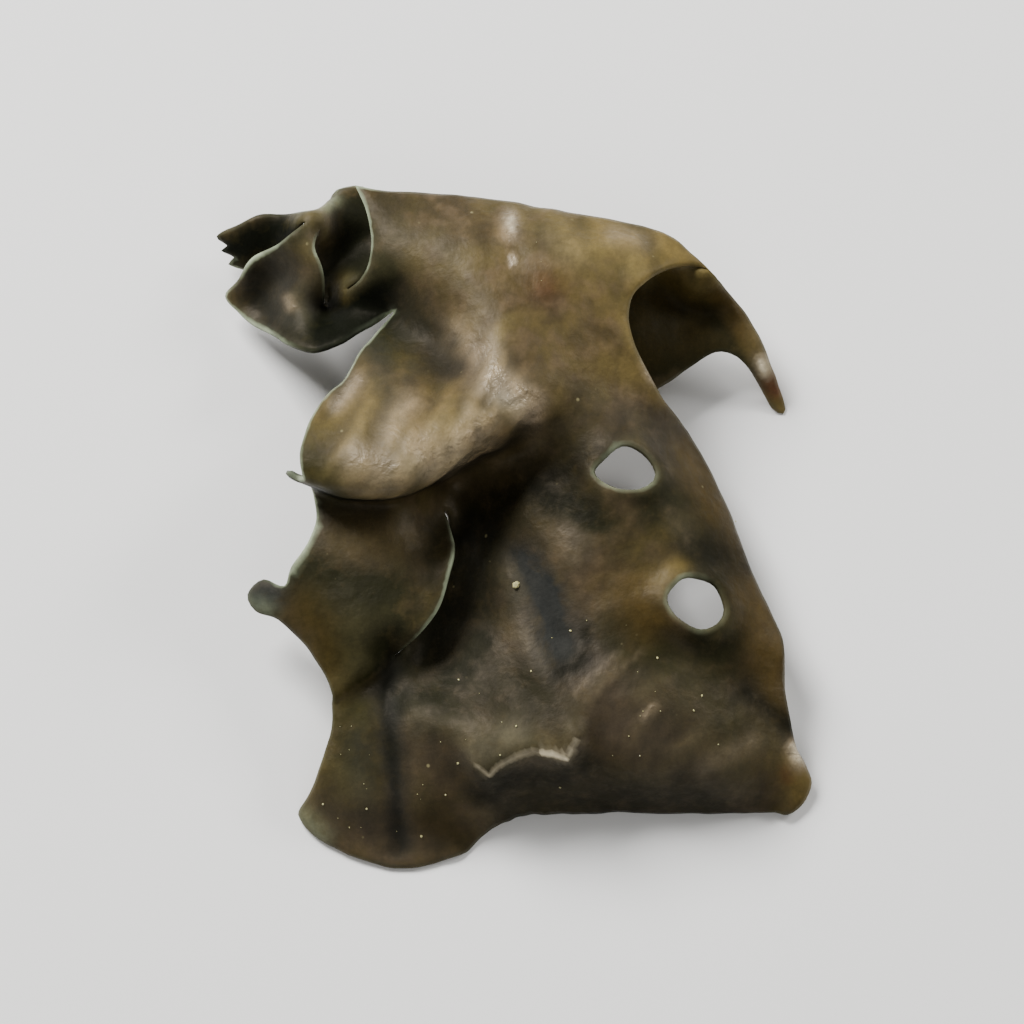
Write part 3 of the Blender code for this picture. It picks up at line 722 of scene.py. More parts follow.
DYES: tuple[Dye, ...] = (
    Dye(Stain.MAUVE, (
        (0.9, 4.2, -4.5, -9.5, -2.5, -8.5, 2.9, -7.5, 6.5, -10.5), (0.9, 1.1, 1.4, -1.3, 1.6, -1.6),
        (0.9, 1.2, -12.4, 10.9, -11.5, 10.1), (0.5, 1.4, -10, 6, -7, 2.4), (0.7, 1.2, -3.9, 7.9, -2.6, 5.3),
        (0.6, 2.2, -9, -14.5, -5.5, -15), (0.9, 1.8, -10.4, -0.6, -8.6, -1.2, -6.4, -1.2),
        (0.6, 1.6, -8, 12.5, -6.8, 10.6),
    )),
    # Deep brown tone, and painted shade where the blade lies in shadow.
    Dye(Stain.UMBER_AND_PAINTED_SHADE, (
        (0.7, 1.9, -11.2, 4.4, -10.2, 2.2), (0.95, 1.3, -0.1, 1, 1.2, 0.9, 2.4, 0.1),
        (0.95, 1, -6.9, -8.8, -5.2, -8.6, -3.9, -7, -2.9, -5.8), (0.5, 0.7, -1.7, -1.5, -1.5, -4.6),
        (0.4, 0.8, 1.4, -6.9, 2.4, -7.4), (0.4, 0.9, -5.6, 13.4, -4.7, 12.7),
        (0.5, 1.2, 3.4, -0.5, 4.8, -1.8), (0.4, 1.2, 8.4, -9, 10.4, -9.8), (0.3, 0.8, 0.6, 14.2, 1.2, 13.2),
        (0.25, 1.2, -9.8, 3.4, -8.6, 2), (0.9, 0.4, 7.2, 11.9, 7.9, 11.75),
        (1, 1.2, -10.6, 9.6, -8.6, 10.8, -7.6, 12.2), (0.45, 2, -13, 11.6, -11.8, 10.2),
        (0.75, 2.5, -3.6, -8, -0.6, -8.2, -2.5, -11), (0.6, 1.2, -5.4, -13.6, -4.4, -15.2),
        (0.85, 2.2, 5.4, 1.2, 7.6, 0, 8.4, -6), (0.8, 1.8, 3.6, -5.4, 5.4, -6.4),
        (0.6, 2, -1, -12.8, 4, -12.8, 7, -12.8), (0.35, 1.6, -9.2, -8, -9.5, -12),
        (0.8, 1.5, -6.8, -8.2, -4.2, -9.2), (0.5, 2.6, -7.6, 14.4, -7, 11),
    )),
    Dye(Stain.UMBER_AND_PAINTED_SHADE, (
        (1.1, 2.6, -11.2, -3, -7.6, -4, -9.6, -6.4), (0.65, 1.5, -5.4, -1.4, -5.4, -3.4, -7.2, -5.6),
    ), over="flap"),
    # Painted shade in the ear's bowl, under its rim.
    Dye(Stain.UMBER_AND_PAINTED_SHADE, (
        (1.4, 2.4, 5.2, 8.6, 5, 10, 6.6, 11, 7.2, 10, 7.2, 8.8), (1.4, 0.9, 7, 11.9, 7.8, 11.8, 8.2, 11.2),
        (1, 1.5, 6.8, 9.5, 8.2, 9.2, 8.6, 8.4),
    ), under="ear"),
    Dye(Stain.UMBER_AND_PAINTED_SHADE, ((0.75, 2, -6.4, -6.6, -4.4, -5, -3.2, -3.2, -2.6, -1),), under="flap"),
    Dye(Stain.UMBER_AND_PAINTED_SHADE, ((1.2, 1.3, -9.4, 14.6, -9.5, 13, -9.4, 12),), under="plateau"),
    # Deep green tone, and painted shade along the lobe's edge, the notch and the frill's foot.
    Dye(Stain.OLIVE_AND_PAINTED_SHADE, (
        (0.7, 1.1, -12, 4.6, -11.6, 2.6, -10.4, 1.3), (0.4, 0.5, -9.6, 6.2, -10, 4.8, -10.6, 3.8),
        (0.9, 1.6, -11, 9.2, -7.6, 8.6), (0.5, 1.8, 6, -7.5, 9.5, -10.4), (0.7, 1.3, -15.5, 13.5, -12.8, 14),
        (0.7, 2, -9.5, -8.5, -9, -11.5), (0.4, 0.7, -8.6, 7.6, -8, 6.4, -7.6, 5.4),
    )),
    # Gold tone, and painted light on the lobe, the lip's foot and round the lower hole.
    Dye(Stain.GOLDEN_AND_PAINTED_LIGHT, (
        (0.45, 2.2, -9, 4.8, -7.4, 3.6, -3.5, 3.9), (0.6, 0.9, 2.7, 7.4, 3.9, 7.2),
        (0.4, 0.7, 0.2, 5.9, 0.5, 5.3), (0.6, 0.6, -6.4, 2.9, -5.4, 3, -4.4, 3.4),
        (0.7, 1.5, 1.6, 13.4, 5.3, 13, 7.4, 12.2), (1.6, 0.7, 11.9, -11.9, 12.1, -12.9),
        (0.5, 0.7, -10.2, 11.2, -9.6, 10.7), (0.5, 0.4, 9.3, 10.3, 10.1, 8.6), (1.2, 0.4, 11.1, 6, 11.4, 5.4),
        (0.7, 0.55, 4.6, -3.1, 5.4, -2.7, 6.2, -2.2),
    )),
    Dye(Stain.GOLDEN_AND_PAINTED_LIGHT, ((0.8, 0.55, 5.8, 12.3, 4.4, 11.3, 3.8, 9.9, 4, 8.6, 4.8, 7, 5.3, 6),), over="ear"),
    # Painted light on the flap's top, just below the lip.
    Dye(Stain.GOLDEN_AND_PAINTED_LIGHT, ((0.3, 0.9, -9.6, -0.7, -7, -1),), over="flap"),
    Dye(Stain.AMBER, (
        (0.8, 1.1, 6.9, 3.8, 8, 0.3), (0.9, 1.1, 4.2, -3.4, 4.8, -4.8),
        (0.9, 1.2, 9.2, -1, 10.2, -4.6, 11, -8.6), (0.45, 1.1, -11.8, -4.1, -10.6, -4.9, -10.4, -7.5),
        (0.4, 1, -6, -14, -4.6, -14.6), (0.45, 0.7, 11.5, -12, 11.8, -13.6),
        (0.9, 0.7, 8.2, 11.3, 9.4, 9.9, 9.9, 8.6),
    )),
    Dye(Stain.AMBER, ((0.35, 1.6, 5.2, 8.6, 5, 10, 6.6, 11, 7.2, 10, 7.2, 8.8),), under="ear"),
    Dye(Stain.SLATE, (
        (0.35, 0.5, -6.4, 7.2, -7, 5.8, -7.8, 4.8),
        (0.95, 0.95, -1, -1.8, -0.55, -2.9, 0.1, -4.4, 0.65, -5.9),
        (1.2, 1.1, -0.2, -3.3, 0.25, -4.6, 0.6, -6), (0.4, 1.6, 1.9, 5.4, 4.5, 3.9),
        (0.6, 1.2, -14, 11, -13.2, 9.8), (0.35, 0.8, -8.9, -10.5, -8.6, -14.4),
        (0.2, 1.6, -9.6, -14.5, -7.5, -15.4), (0.5, 1.5, -12.6, 12.2, -12, 10.2),
        (0.8, 1, -14.4, -4, -13.2, -3.6), (0.4, 0.7, -8, 8, -7.4, 5.4),
        (0.7, 0.7, -7.4, -7.2, -7.4, -8.6, -7.3, -10.55, -7.1, -13.75, -7, -15.4),
    )),
    # Painted shade in the hollows, under the lip and the crest, in the notch and on the skirt.
    Dye(Stain.DARK, (
        (0.6, 0.9, -0.2, 1.1, 1.2, 1, 2, 0.5), (0.45, 0.9, -4.4, -7.3, -3.4, -6.4, -2.8, -5.6),
        (0.3, 1, -6.6, -8.4, -5.6, -9.4), (0.35, 0.7, -8.4, 0.6, -6.4, 0.3),
        (0.7, 1.4, -3.6, -0.4, -1.9, 0.9, 2.2, 3.2), (0.75, 0.5, 0.6, -7.2, 1.3, -7, 1.9, -6.2, 1.95, -5.2),
        (0.55, 1.5, -2, -13.6, 4, -13.4, 10, -13.4), (0.6, 1, 6.9, -1.2, 9.3, -1.9),
        (0.7, 0.7, 9.4, -8.2, 11.5, -9.9), (1.2, 1.3, -10.2, 9, -9.4, 9.5, -8.4, 10.6),
        (0.6, 1, -12.8, 8.9, -11.4, 8.5), (0.8, 0.8, -10.4, 11.8, -10.3, 10.6, -9.6, 10.2),
        (0.95, 1, -15.6, 13.4, -12.8, 14.3), (0.6, 0.9, -14.4, 11.8, -14.3, 10.7),
        (0.6, 1.3, -7.4, 9.7, -5.8, 8.9, -4.8, 8), (0.7, 0.8, -3.2, -13, -1.6, -12.2, 0.4, -12.1, 1.9, -11.6),
        (0.55, 0.5, -7.4, -6.6, -7.5, -7.6, -7.4, -9.6, -7.3, -11.2),
        (0.3, 0.35, -7.3, -11.2, -7.2, -13.75, -7.2, -15.4),
    )),
    Dye(Stain.DARK, ((0.35, 1.3, -6.4, -6.6, -4.4, -5, -3.2, -3.2, -3, -1),), under="flap"),
    Dye(Stain.DARK, ((0.5, 0.8, -9.4, 14.6, -9.5, 13, -9.4, 12.4),), under="plateau"),
    Dye(Stain.RUST, (
        (0.35, 0.3, 11.3, -11.9, 11.4, -12.2), (0.3, 0.8, -0.2, 11.4, 0.1, 11.2),
        (0.8, 0.4, 10.75, 6.9, 11, 6.3),
    )),
    # Pale green on the thin rims and the ribbon's foot, partly a painted highlight.
    Dye(Stain.MINT, (
        (0.5, 0.17, -11.1, 0.6, -11, -0.3, -11.5, -1.4, -12, -2.4), (0.2, 0.5, -14, -4.1, -13.4, -4.3),
        (0.5, 0.5, -12.3, 1.6, -12.2, 1.1), (0.22, 0.7, -11.7, -14.1, -10.9, -15),
    )),
    Dye(Stain.MINT, ((0.3, 0.35, -10.8, 15.1, -10.5, 15.4),), under="plateau"),
    # Painted highlights on the glossy spots and glints, and fine pale lines.
    Dye(Stain.BLOOM, (
        (1, 0.4, 11.75, -10.9, 11.95, -11.5), (0.1, 0.12, 1.3, -8.3, 2.2, -7.3, 3.4, -6.3),
        (0.12, 0.12, 1.9, -8.6, 3, -7.5, 4.5, -6.2), (0.08, 0.12, 3.1, -8.5, 4.4, -7.1),
        (0.4, 0.2, 4.6, -9.3, 5, -8.8), (0.25, 0.5, 7.4, -11.6, 9.6, -10.6),
        (0.9, 0.3, 10.3, 7.8, 10.55, 7.2), (0.9, 0.4, -1.76, 14.4, -1.7, 13.7),
        (0.8, 0.22, -1.6, 12.6, -1.6, 12.3), (1, 0.7, -2.3, 6.7, -1.5, 5.8, -0.8, 5.3),
        (0.4, 0.9, -4.1, 9, -2.7, 7.6, -2.2, 6), (0.35, 0.5, 3.2, 13.6, 4.6, 13.3),
        (0.12, 0.6, 0.2, 13.4, 1.4, 12.8), (0.6, 0.9, -6, 3.4, -4.8, 3, -3, 4.3),
        (0.4, 0.9, -8.8, 2.9, -7.4, 2.4), (0.7, 0.4, -10, 5.4, -9, 6.6), (0.35, 0.7, -6.6, 5.4, -7.4, 4.2),
    )),
    Dye(Stain.BLOOM, ((0.5, 0.25, -12.4, 10.7, -12.3, 10.3),), over="cup"),
    Dye(Stain.BLOOM, ((0.6, 0.25, 4.7, 7.7, 5, 6.7),), over="ear"),
    # Painted highlights: bright glints and the lit line along the sharp crest.
    Dye(Stain.PAINTED_GLINT, (
        (0.1, 0.4, -6.4, 2.7, -5.4, 2.9, -4.2, 3.5), (0.16, 0.5, -2.1, 5.7, -1.6, 5.3),
        (0.06, 0.7, -3.3, -10.9, -1.6, -10.1), (0.45, 0.26, 11.75, -10.95, 11.9, -11.4),
        (0.75, 0.22, 10.35, 7.65, 10.45, 7.4), (0.35, 0.16, -1.76, 14.4, -1.72, 14),
        (0.25, 0.09, -1.6, 12.5, -1.6, 12.4),
        (
            0.3, 0.05, -3.17, -11.6, -2.77, -11.95, -2.35, -11.55, -1.44, -11.07, -0.64, -10.83, 0.29, -10.94,
            0.9, -11.14,
        ),
        (0.28, 0.05, 0.9, -11.14, 1.1, -10.74, 1.4, -10.3),
        (1.1, 0.07, -0.3, -10.86, 0.29, -10.94, 0.9, -11.14),
        (0.5, 0.09, 0.7, -11.05, 0.95, -11, 1.15, -10.7),
    )),
    # Where the pale rims show, which are partly a painted highlight.
    Dye(Stain.PALE_RIM, (
        (1, 0.9, -9.3, 16.2, -8.3, 14, -8.4, 12.8), (0.45, 0.8, -8.4, 12.4, -9.2, 11.2),
        (1, 0.7, -11.3, 14.2, -11, 12.1, -11.2, 10.6), (1, 0.9, -12.4, 2.2, -11, -0.2, -12, -2.6),
        (1, 0.9, -4.8, 0.6, -4.4, -1.4, -5, -3.8, -7.2, -6.3), (0.8, 0.9, -15.6, 10.7, -13, 8.9),
        (1, 0.7, -14.6, 12.5, -11.8, 14.2), (0.7, 0.8, -11.8, 2.4, -11.2, 4.4, -9.6, 6.8, -7.3, 9.9),
        (0.35, 0.9, 2.2, 2.4, 3.1, 3.3), (0.35, 1, 5.8, -3.6, 6.5, -2.7), (0.3, 0.8, 2.8, 1.6, 4.6, 1.6),
        (0.4, 0.8, 6.4, -6, 8.2, -6.2),
    )),
)


def from_screen(red: int, green: int, blue: int) -> Colour:
    """A colour as a screen gives it, from 0 to 255, as the linear colour that a shader takes."""
    shares = [value / 255 for value in (red, green, blue)]
    return *(x / 12.92 if x <= 0.04045 else ((x + 0.055) / 1.055) ** 2.4 for x in shares), 1.0


class NodeSheet:
    """Adds nodes to one material and joins them."""

    def __init__(self, name: str) -> None:
        """Starts a material with a Principled shader.

        Args:
            name: The material's name.
        """
        self.material = bpy.data.materials.new(name)
        self.material.use_nodes = True
        self.tree = self.material.node_tree
        self.shader = self.tree.nodes["Principled BSDF"]
        self.place = self.add("ShaderNodeTexCoord").outputs["Object"]

    def add(self, kind: str, inputs: dict | None = None, **settings: object) -> bpy.types.Node:
        """Adds a node.

        Args:
            kind: Its type.
            inputs: A value or another node's socket for each input, by its name or number.
            settings: A value for each property.

        Returns:
            The node.
        """
        node = self.tree.nodes.new(kind)
        for key, value in settings.items():
            setattr(node, key, value)
        self.feed(node, inputs or {})
        return node

    def feed(self, node: bpy.types.Node, inputs: dict) -> None:
        """Joins the inputs of a node to sockets, or sets their values.

        Args:
            node: The node.
            inputs: A value or another node's socket for each input, by its name or number.
        """
        for key, value in inputs.items():
            if isinstance(value, Socket):
                self.tree.links.new(value, node.inputs[key])
            else:
                node.inputs[key].default_value = value

    def attribute(self, name: str) -> Socket:
        """The value of a mesh attribute."""
        return self.add("ShaderNodeAttribute", attribute_name=name).outputs["Fac"]

    def noise(self, size: float, detail: float = 3, rough: float = 0.55, bend: float = 0,
              stretch: Spot = (1, 1, 1)) -> Socket:
        """Noise on the object's own coordinates.

        Args:
            size: Length of one blot, in millimetres.
            detail: How many finer layers it has.
            rough: How strong those are.
            bend: How much it is distorted.
            stretch: How it is drawn out along each axis.

        Returns:
            The noise's value, about 0.5 on the whole.
        """
        scale = tuple(1 / share for share in stretch)
        drawn = self.add("ShaderNodeMapping", {"Vector": self.place, "Scale": scale}).outputs["Vector"]
        inputs = {"Vector": drawn, "Scale": 1 / (size * MM), "Detail": detail, "Roughness": rough}
        return self.add("ShaderNodeTexNoise", inputs | {"Distortion": bend}).outputs["Fac"]

    def ramp(self, value: object, low: float, high: float, start: float = 0, end: float = 1) -> Socket:
        """Maps a value softly from low and high to start and end."""
        inputs = {"Value": value, "From Min": low, "From Max": high, "To Min": start, "To Max": end}
        return self.add("ShaderNodeMapRange", inputs, interpolation_type="SMOOTHSTEP").outputs["Result"]

    def arithmetic(self, operation: str, first: object, second: object, clamp: bool = False) -> Socket:
        """One step of arithmetic on two values."""
        node = self.add("ShaderNodeMath", {0: first, 1: second}, operation=operation, use_clamp=clamp)
        return node.outputs["Value"]

    def product(self, *values: object) -> Socket:
        """The product of several values."""
        return reduce(lambda first, second: self.arithmetic("MULTIPLY", first, second), values)

    def mix(self, share: object, first: object, second: object, blend: str = "MIX") -> Socket:
        """A colour between two others."""
        node = self.add("ShaderNodeMix", {0: share, 6: first, 7: second}, data_type="RGBA", blend_type=blend)
        return node.outputs[2]

    def shade(self, colour: object, share: object, low: Spot, high: Spot) -> Socket:
        """A colour times low where the share is 0, and times high where it is 1."""
        return self.mix(1.0, colour, self.mix(share, (*low, 1), (*high, 1)), "MULTIPLY")

    def bump(self, height: object, distance: float, strength: float, normal: object = None) -> Socket:
        """A bump from a height, on top of another bump if one is given."""
        inputs = {"Height": height, "Distance": distance * MM, "Strength": strength}
        return self.add("ShaderNodeBump", inputs | ({"Normal": normal} if normal else {})).outputs[0]


@dataclass(frozen=True)
class DriedBladeFinish:
    """Dried seaweed: leathery brown and khaki, with a satin sheen and pale torn rims.

    Some tones are painted shade and painted highlights, and the pale rims are partly a painted highlight.

    Sizes are in millimetres. The tints are the factors of a colour where a pattern is at its lowest
    and at its highest. A bump is its depth and its strength.
    """

    khaki: Colour = from_screen(78, 67, 37)
    brown: Colour = from_screen(56, 46, 27)
    # Gold tone, also used as painted light.
    golden_and_painted_light: Colour = from_screen(96, 82, 44)
    mauve: Colour = from_screen(60, 51, 39)
    slate: Colour = from_screen(39, 40, 38)
    amber: Colour = from_screen(60, 48, 21)
    # Deep brown, also used as painted shade.
    umber_and_painted_shade: Colour = from_screen(29, 29, 17)
    # Deep green, also used as painted shade.
    olive_and_painted_shade: Colour = from_screen(36, 36, 14)
    # Near-black painted shade.
    painted_shade: Colour = from_screen(13, 15, 9)
    rust: Colour = from_screen(80, 44, 22)
    # Pale green of the rims, partly a painted highlight.
    mint: Colour = from_screen(150, 160, 132)
    # Painted highlight spots.
    gloss_and_painted_highlight: Colour = from_screen(130, 115, 92)
    # Painted highlight: bright glints and the crest's lit line.
    worn: Colour = from_screen(226, 212, 180)
    dust: Colour = from_screen(126, 118, 84)
    rose: Colour = from_screen(88, 73, 52)
    blot_size: float = 3.4
    flush_size: float = 1.1
    mottle_size: float = 0.7
    streak_size: float = 0.6
    wrinkle_size: float = 0.55
    bead_size: float = 0.38
    grain_size: float = 0.16
    speck_size: float = 0.75
    streak_draw: Spot = (1, 1.5, 1.5)
    salting_size: float = 1.9
    rim_size: float = 1.5
    streak_tints: tuple[Spot, Spot] = ((0.86, 0.87, 0.88), (1.14, 1.13, 1.11))
    # Painted light and shade on the ribs: lighter on their tops, darker between them.
    painted_rib_shading: tuple[Spot, Spot] = ((0.78, 0.8, 0.83), (1.22, 1.2, 1.16))
    grain_tints: tuple[Spot, Spot] = ((0.94, 0.94, 0.94), (1.06, 1.06, 1.06))
    crest_dust: float = 0.1
    # Painted shade in the valleys.
    painted_valley_shade: float = 0.4
    wrinkle_bump: Place = (0.09, 0.55)
    grain_bump: Place = (0.01, 0.3)
    bead_bump: Place = (0.16, 0.7)
    roughness: Place = (0.44, 0.58)
    highlight_polish: float = 0.22
    gloss: Place = (0.2, 0.05)
    highlight_gloss: float = 0.35
    sheen: Colour = (1, 0.86, 0.7, 1)

    def stained(self, sheet: NodeSheet, colour: object, mottle: object) -> Socket:
        """Lays the tones over the ground colour where their attributes say, painted light and shade among
        them.

        Args:
            sheet: The material's nodes.
            colour: The ground colour.
            mottle: Noise that breaks up the tones' edges.

        Returns:
            The stained colour.
        """
        broken = sheet.ramp(mottle, 0.25, 0.6, 0.8, 1.2)
        for stain in list(Stain)[:-1]:
            share = sheet.arithmetic("MULTIPLY", sheet.attribute(stain.value), broken, True)
            colour = sheet.mix(share, colour, getattr(self, stain.value))
        return colour

    def weathered(self, sheet: NodeSheet, colour: object, grain: object) -> Socket:
        """Lays crest dust, painted valley shade, painted rib shading, streaks, pale rims and salt.

        The pale torn rims are partly a painted highlight and are dimmed where painted shade lies.

        Args:
            sheet: The material's nodes.
            colour: The stained colour.
            grain: Fine noise.

        Returns:
            The weathered colour.
        """
        crest = sheet.attribute("crest")
        colour = sheet.mix(sheet.ramp(crest, 0.55, 0.9, 0, self.crest_dust), colour, self.dust)
        streak = sheet.ramp(sheet.noise(self.streak_size, 3, 0.55, 0.15, self.streak_draw), 0.3, 0.7)
        colour = sheet.shade(colour, streak, *self.streak_tints)
        # Painted light and shade on the ribs.
        ribs = sheet.ramp(sheet.attribute("ribs"), 0.1, 0.9)
        colour = sheet.shade(colour, ribs, *self.painted_rib_shading)
        # Painted shade in the valleys.
        colour = sheet.mix(sheet.ramp(crest, 0.47, 0.2, 0, self.painted_valley_shade), colour, self.painted_shade)
        colour = sheet.shade(colour, sheet.ramp(grain, 0.3, 0.7), *self.grain_tints)
        # Pale torn rims, partly a painted highlight, dimmed where painted shade lies.
        rim = sheet.product(
            sheet.attribute("rim"), sheet.ramp(sheet.attribute(Stain.PALE_RIM.value), 0, 0.7, 0.08, 1),
            sheet.ramp(sheet.attribute(Stain.DARK.value), 0.3, 0.9, 1, 0.35),
            sheet.ramp(sheet.noise(self.rim_size, 2), 0.35, 0.6, 0.45, 1),
        )
        colour = sheet.mix(rim, colour, self.mint)
        inputs = {"Vector": sheet.place, "Scale": 1 / (self.speck_size * MM)}
        near = sheet.ramp(sheet.add("ShaderNodeTexVoronoi", inputs).outputs["Distance"], 0.16, 0.05)
        salted = sheet.product(near, sheet.ramp(sheet.noise(self.salting_size, 2), 0.6, 0.72))
        return sheet.mix(salted, colour, self.dust)

    def material(self) -> bpy.types.Material:
        """Builds the material.

        Returns:
            The finished material.
        """
        sheet = NodeSheet("dried_blade")
        mottle = sheet.noise(self.mottle_size, 4, 0.6, 0.3)
        grain = sheet.noise(self.grain_size, 3, 0.6)
        blots = sheet.ramp(sheet.noise(self.blot_size, 3, 0.5, 0.4), 0.34, 0.66)
        flush = sheet.ramp(sheet.noise(self.flush_size, 2, 0.5, 0.1), 0.45, 0.7, 0, 0.6)
        colour = sheet.mix(flush, sheet.mix(blots, self.brown, self.khaki), self.rose)
        colour = self.weathered(sheet, self.stained(sheet, colour, mottle), grain)
        # The painted highlight spots are also smoother, glossier and beaded.
        gloss_and_painted_highlight = sheet.attribute(Stain.BLOOM.value)
        polish = sheet.ramp(gloss_and_painted_highlight, 0, 1, 0, self.highlight_polish)
        rough = sheet.arithmetic("SUBTRACT", sheet.ramp(mottle, 0.25, 0.75, *self.roughness), polish)
        matt = sheet.attribute(Stain.DARK.value)
        for stain in (Stain.UMBER_AND_PAINTED_SHADE, Stain.SLATE):
            matt = sheet.arithmetic("MAXIMUM", matt, sheet.attribute(stain.value))
        shine = sheet.ramp(gloss_and_painted_highlight, 0, 1, 0, self.highlight_gloss)
        gloss = sheet.arithmetic("ADD", sheet.ramp(matt, 0, 1, *self.gloss), shine)
        normal = sheet.bump(sheet.noise(self.wrinkle_size, 3, 0.5, 0.1), *self.wrinkle_bump)
        normal = sheet.bump(grain, *self.grain_bump, normal)
        beads = sheet.product(sheet.noise(self.bead_size, 2, 0.5, 0.3), sheet.ramp(gloss_and_painted_highlight, 0.05, 0.6))
        sheet.feed(sheet.shader, {
            "Base Color": colour, "Roughness": rough, "Specular IOR Level": gloss,
            "Specular Tint": self.sheen, "Normal": sheet.bump(beads, *self.bead_bump, normal),
        })
        return sheet.material


@dataclass(frozen=True)
class SaltFinish:
    """Sea salt that dried on the blade."""

    tone: Colour = from_screen(200, 192, 140)
    deep: Colour = from_screen(150, 146, 96)
    roughness: float = 0.3
    cloud_size: float = 0.12

    def material(self) -> bpy.types.Material:
        """Builds the material.

        Returns:
            The finished material.
        """
        sheet = NodeSheet("sea_salt")
        colour = sheet.mix(sheet.noise(self.cloud_size, 2), self.tone, self.deep)
        sheet.feed(sheet.shader, {"Base Color": colour, "Roughness": self.roughness})
        return sheet.material


@dataclass(frozen=True)
class FloorFinish:
    """A plain pale floor."""

    tone: Colour = from_screen(243, 242, 239)
    roughness: float = 0.9

    def material(self) -> bpy.types.Material:
        """Builds the material.

        Returns:
            The finished material.
        """
        sheet = NodeSheet("pale_floor")
        sheet.feed(sheet.shader, {"Base Color": self.tone, "Roughness": self.roughness})
        return sheet.material


def only(*pieces: bpy.types.Object) -> None:
    """Selects some objects and no others, and makes the first active."""
    bpy.ops.object.select_all(action="DESELECT")
    for piece in pieces:
        piece.select_set(True)
    bpy.context.view_layer.objects.active = pieces[0]


@dataclass
class Blade:
    """The thin folded blade of the flake.

    waves run all over the blade, and local_waves only in their patches. fine_areas are circles of the
    plan where the sheet's points lie closer. A field of two numbers is where a soft step starts and
    ends, and under_lip has two of them, between which painted shade is laid where the blade turns
    under the lip.
    """

    contour: Contour = field(default_factory=Contour)
    tears: Tears = field(default_factory=Tears)
    fold: Fold = field(default_factory=Fold)
    relief: Relief = field(default_factory=Relief)
    waves: Sequence[Wave] = (
        Wave(2.8, 0.05, 0.5, 1.5, shift=1.3), Wave(1.2, 0.014, 1.9, 1.4, shift=5.1),
        Wave(0.6, 0.007, 0.9, 1.3, shift=9.7),
    )
    local_waves: Sequence[tuple[Wave, Row]] = (
        (Wave(1.0, 0.06, -0.45, 3.2, ridged=True, shift=7.7), (1, 2.6, -10, 4.6, -7, 3.6, -3, 5.2)),
        (Wave(1.0, 0.05, 0.2, 1.7, shift=2.9), (1, 1.6, -2.4, 14, 5.5, 13, 2, 10)),
        (Wave(0.8, 0.09, -0.5, 1.5, shift=6.1), (1, 1.3, -3.4, 8.4, -1.8, 6, -3.6, 4.4)),
        (Wave(0.8, 0.04, 2.3, 2.2, shift=8.3), (1, 2.0, 2.2, -6, 5, -9.5, 7, -11)),
    )
    wave_at_rim: float = 0.35
    wave_clear: float = 0.8
    rib_rise: float = 0.06
    thickness: float = 0.38
    rim_thickness: float = 0.45
    rim_round: float = 0.25
    rim_glow: float = 0.1
    rim_hidden: float = 0.4
    drift: Wave = Wave(1.6, 0.55, 0.3, 1.2, shift=4.4)
    drawn_line: float = 0.4
    drifting: float = 2.0
    under_lip: tuple[Place, Place] = ((0.25, 0.48), (0.6, 0.85))
    crest_gain: float = 5
    crest_reach: int = 6
    crest_rounds: int = 2
    ease_from: Place = (-5, -2)
    ease_to: Place = (0.6, 2.0)
    ease_below: float = 1.0
    ease_width: float = 1.9
    ease_pull: float = 0.6
    ease_rounds: int = 50
    even_rounds: int = 10
    even_edge: float = 0.9
    sharp_step: float = 0.13
    sharp_side: float = 0.1
    step: float = 0.26
    fine_step: float = 0.19
    fine_areas: Sequence[Spot] = (
        (-12.5, 12.2, 4.6), (-0.9, -11.3, 2.9), (-7.4, -6.8, 1.6), (5.6, 10.2, 2.2), (-4.8, -1, 1.8),
    )
    clear: float = 0.62
    ring: float = 0.15
    ring_clear: float = 0.9
    fray: float = 0.05
    fray_length: float = 0.9
    fray_seed: float = 2.2
    fray_clear: Place = (0.2, 0.8)
    middle: Array = field(init=False)
    upward: Array = field(init=False)
    flat: Array = field(init=False)

    def step_at(self, u: Array, v: Array) -> Array:
        """Distance between points at places on the sheet."""
        fine = [np.hypot(u - s0, self.fold.on_plan(u, v) - t0) < reach for s0, t0, reach in self.fine_areas]
        return np.where(np.any(fine, axis=0), self.fine_step, self.step)

    def rounded(self, points: Line) -> Array:
        """A closed smooth line through points, divided into short stretches and slightly frayed.

        Args:
            points: Points of the sheet.

        Returns:
            The line's points.
        """
        corners = np.array(points, float)
        line = []
        sides = zip(np.roll(corners, 1, 0), corners, np.roll(corners, -1, 0), np.roll(corners, -2, 0))
        for before, start, end, after in sides:
            parts = max(1, round(float(np.hypot(*(end - start)) / self.step_at(*start))))
            line += [bent(before, start, end, after, k / parts) for k in range(parts)]
        smooth = np.array(line)
        nibble = [noise.noise((*(point / self.fray_length), self.fray_seed)) for point in smooth]
        cuts = [along(self.fold.on_sheet(tear.rim), *smooth.T)[0] for tear in self.tears.every()]
        whole = smooth_step(*self.fray_clear, np.min(cuts, axis=0))
        left = leftward(np.roll(smooth, -1, 0) - np.roll(smooth, 1, 0))
        return smooth - left * (self.fray * whole * np.array(nibble))[:, None]

    def sharp_lines(self) -> list[Array]:
        """The sharp crests as open lines on the sheet, in short stretches.

        Returns:
            The points of each crest.
        """
        lines = []
        for crease in self.relief.creases:
            if crease.steep:
                corners = np.array(self.fold.on_sheet(crease.line))
                run = np.concatenate([[0], np.cumsum(np.hypot(*np.diff(corners, axis=0).T))])
                places = np.linspace(0, run[-1], round(run[-1] / self.sharp_step))
                lines.append(np.column_stack([np.interp(places, run, corners[:, k]) for k in range(2)]))
        return lines

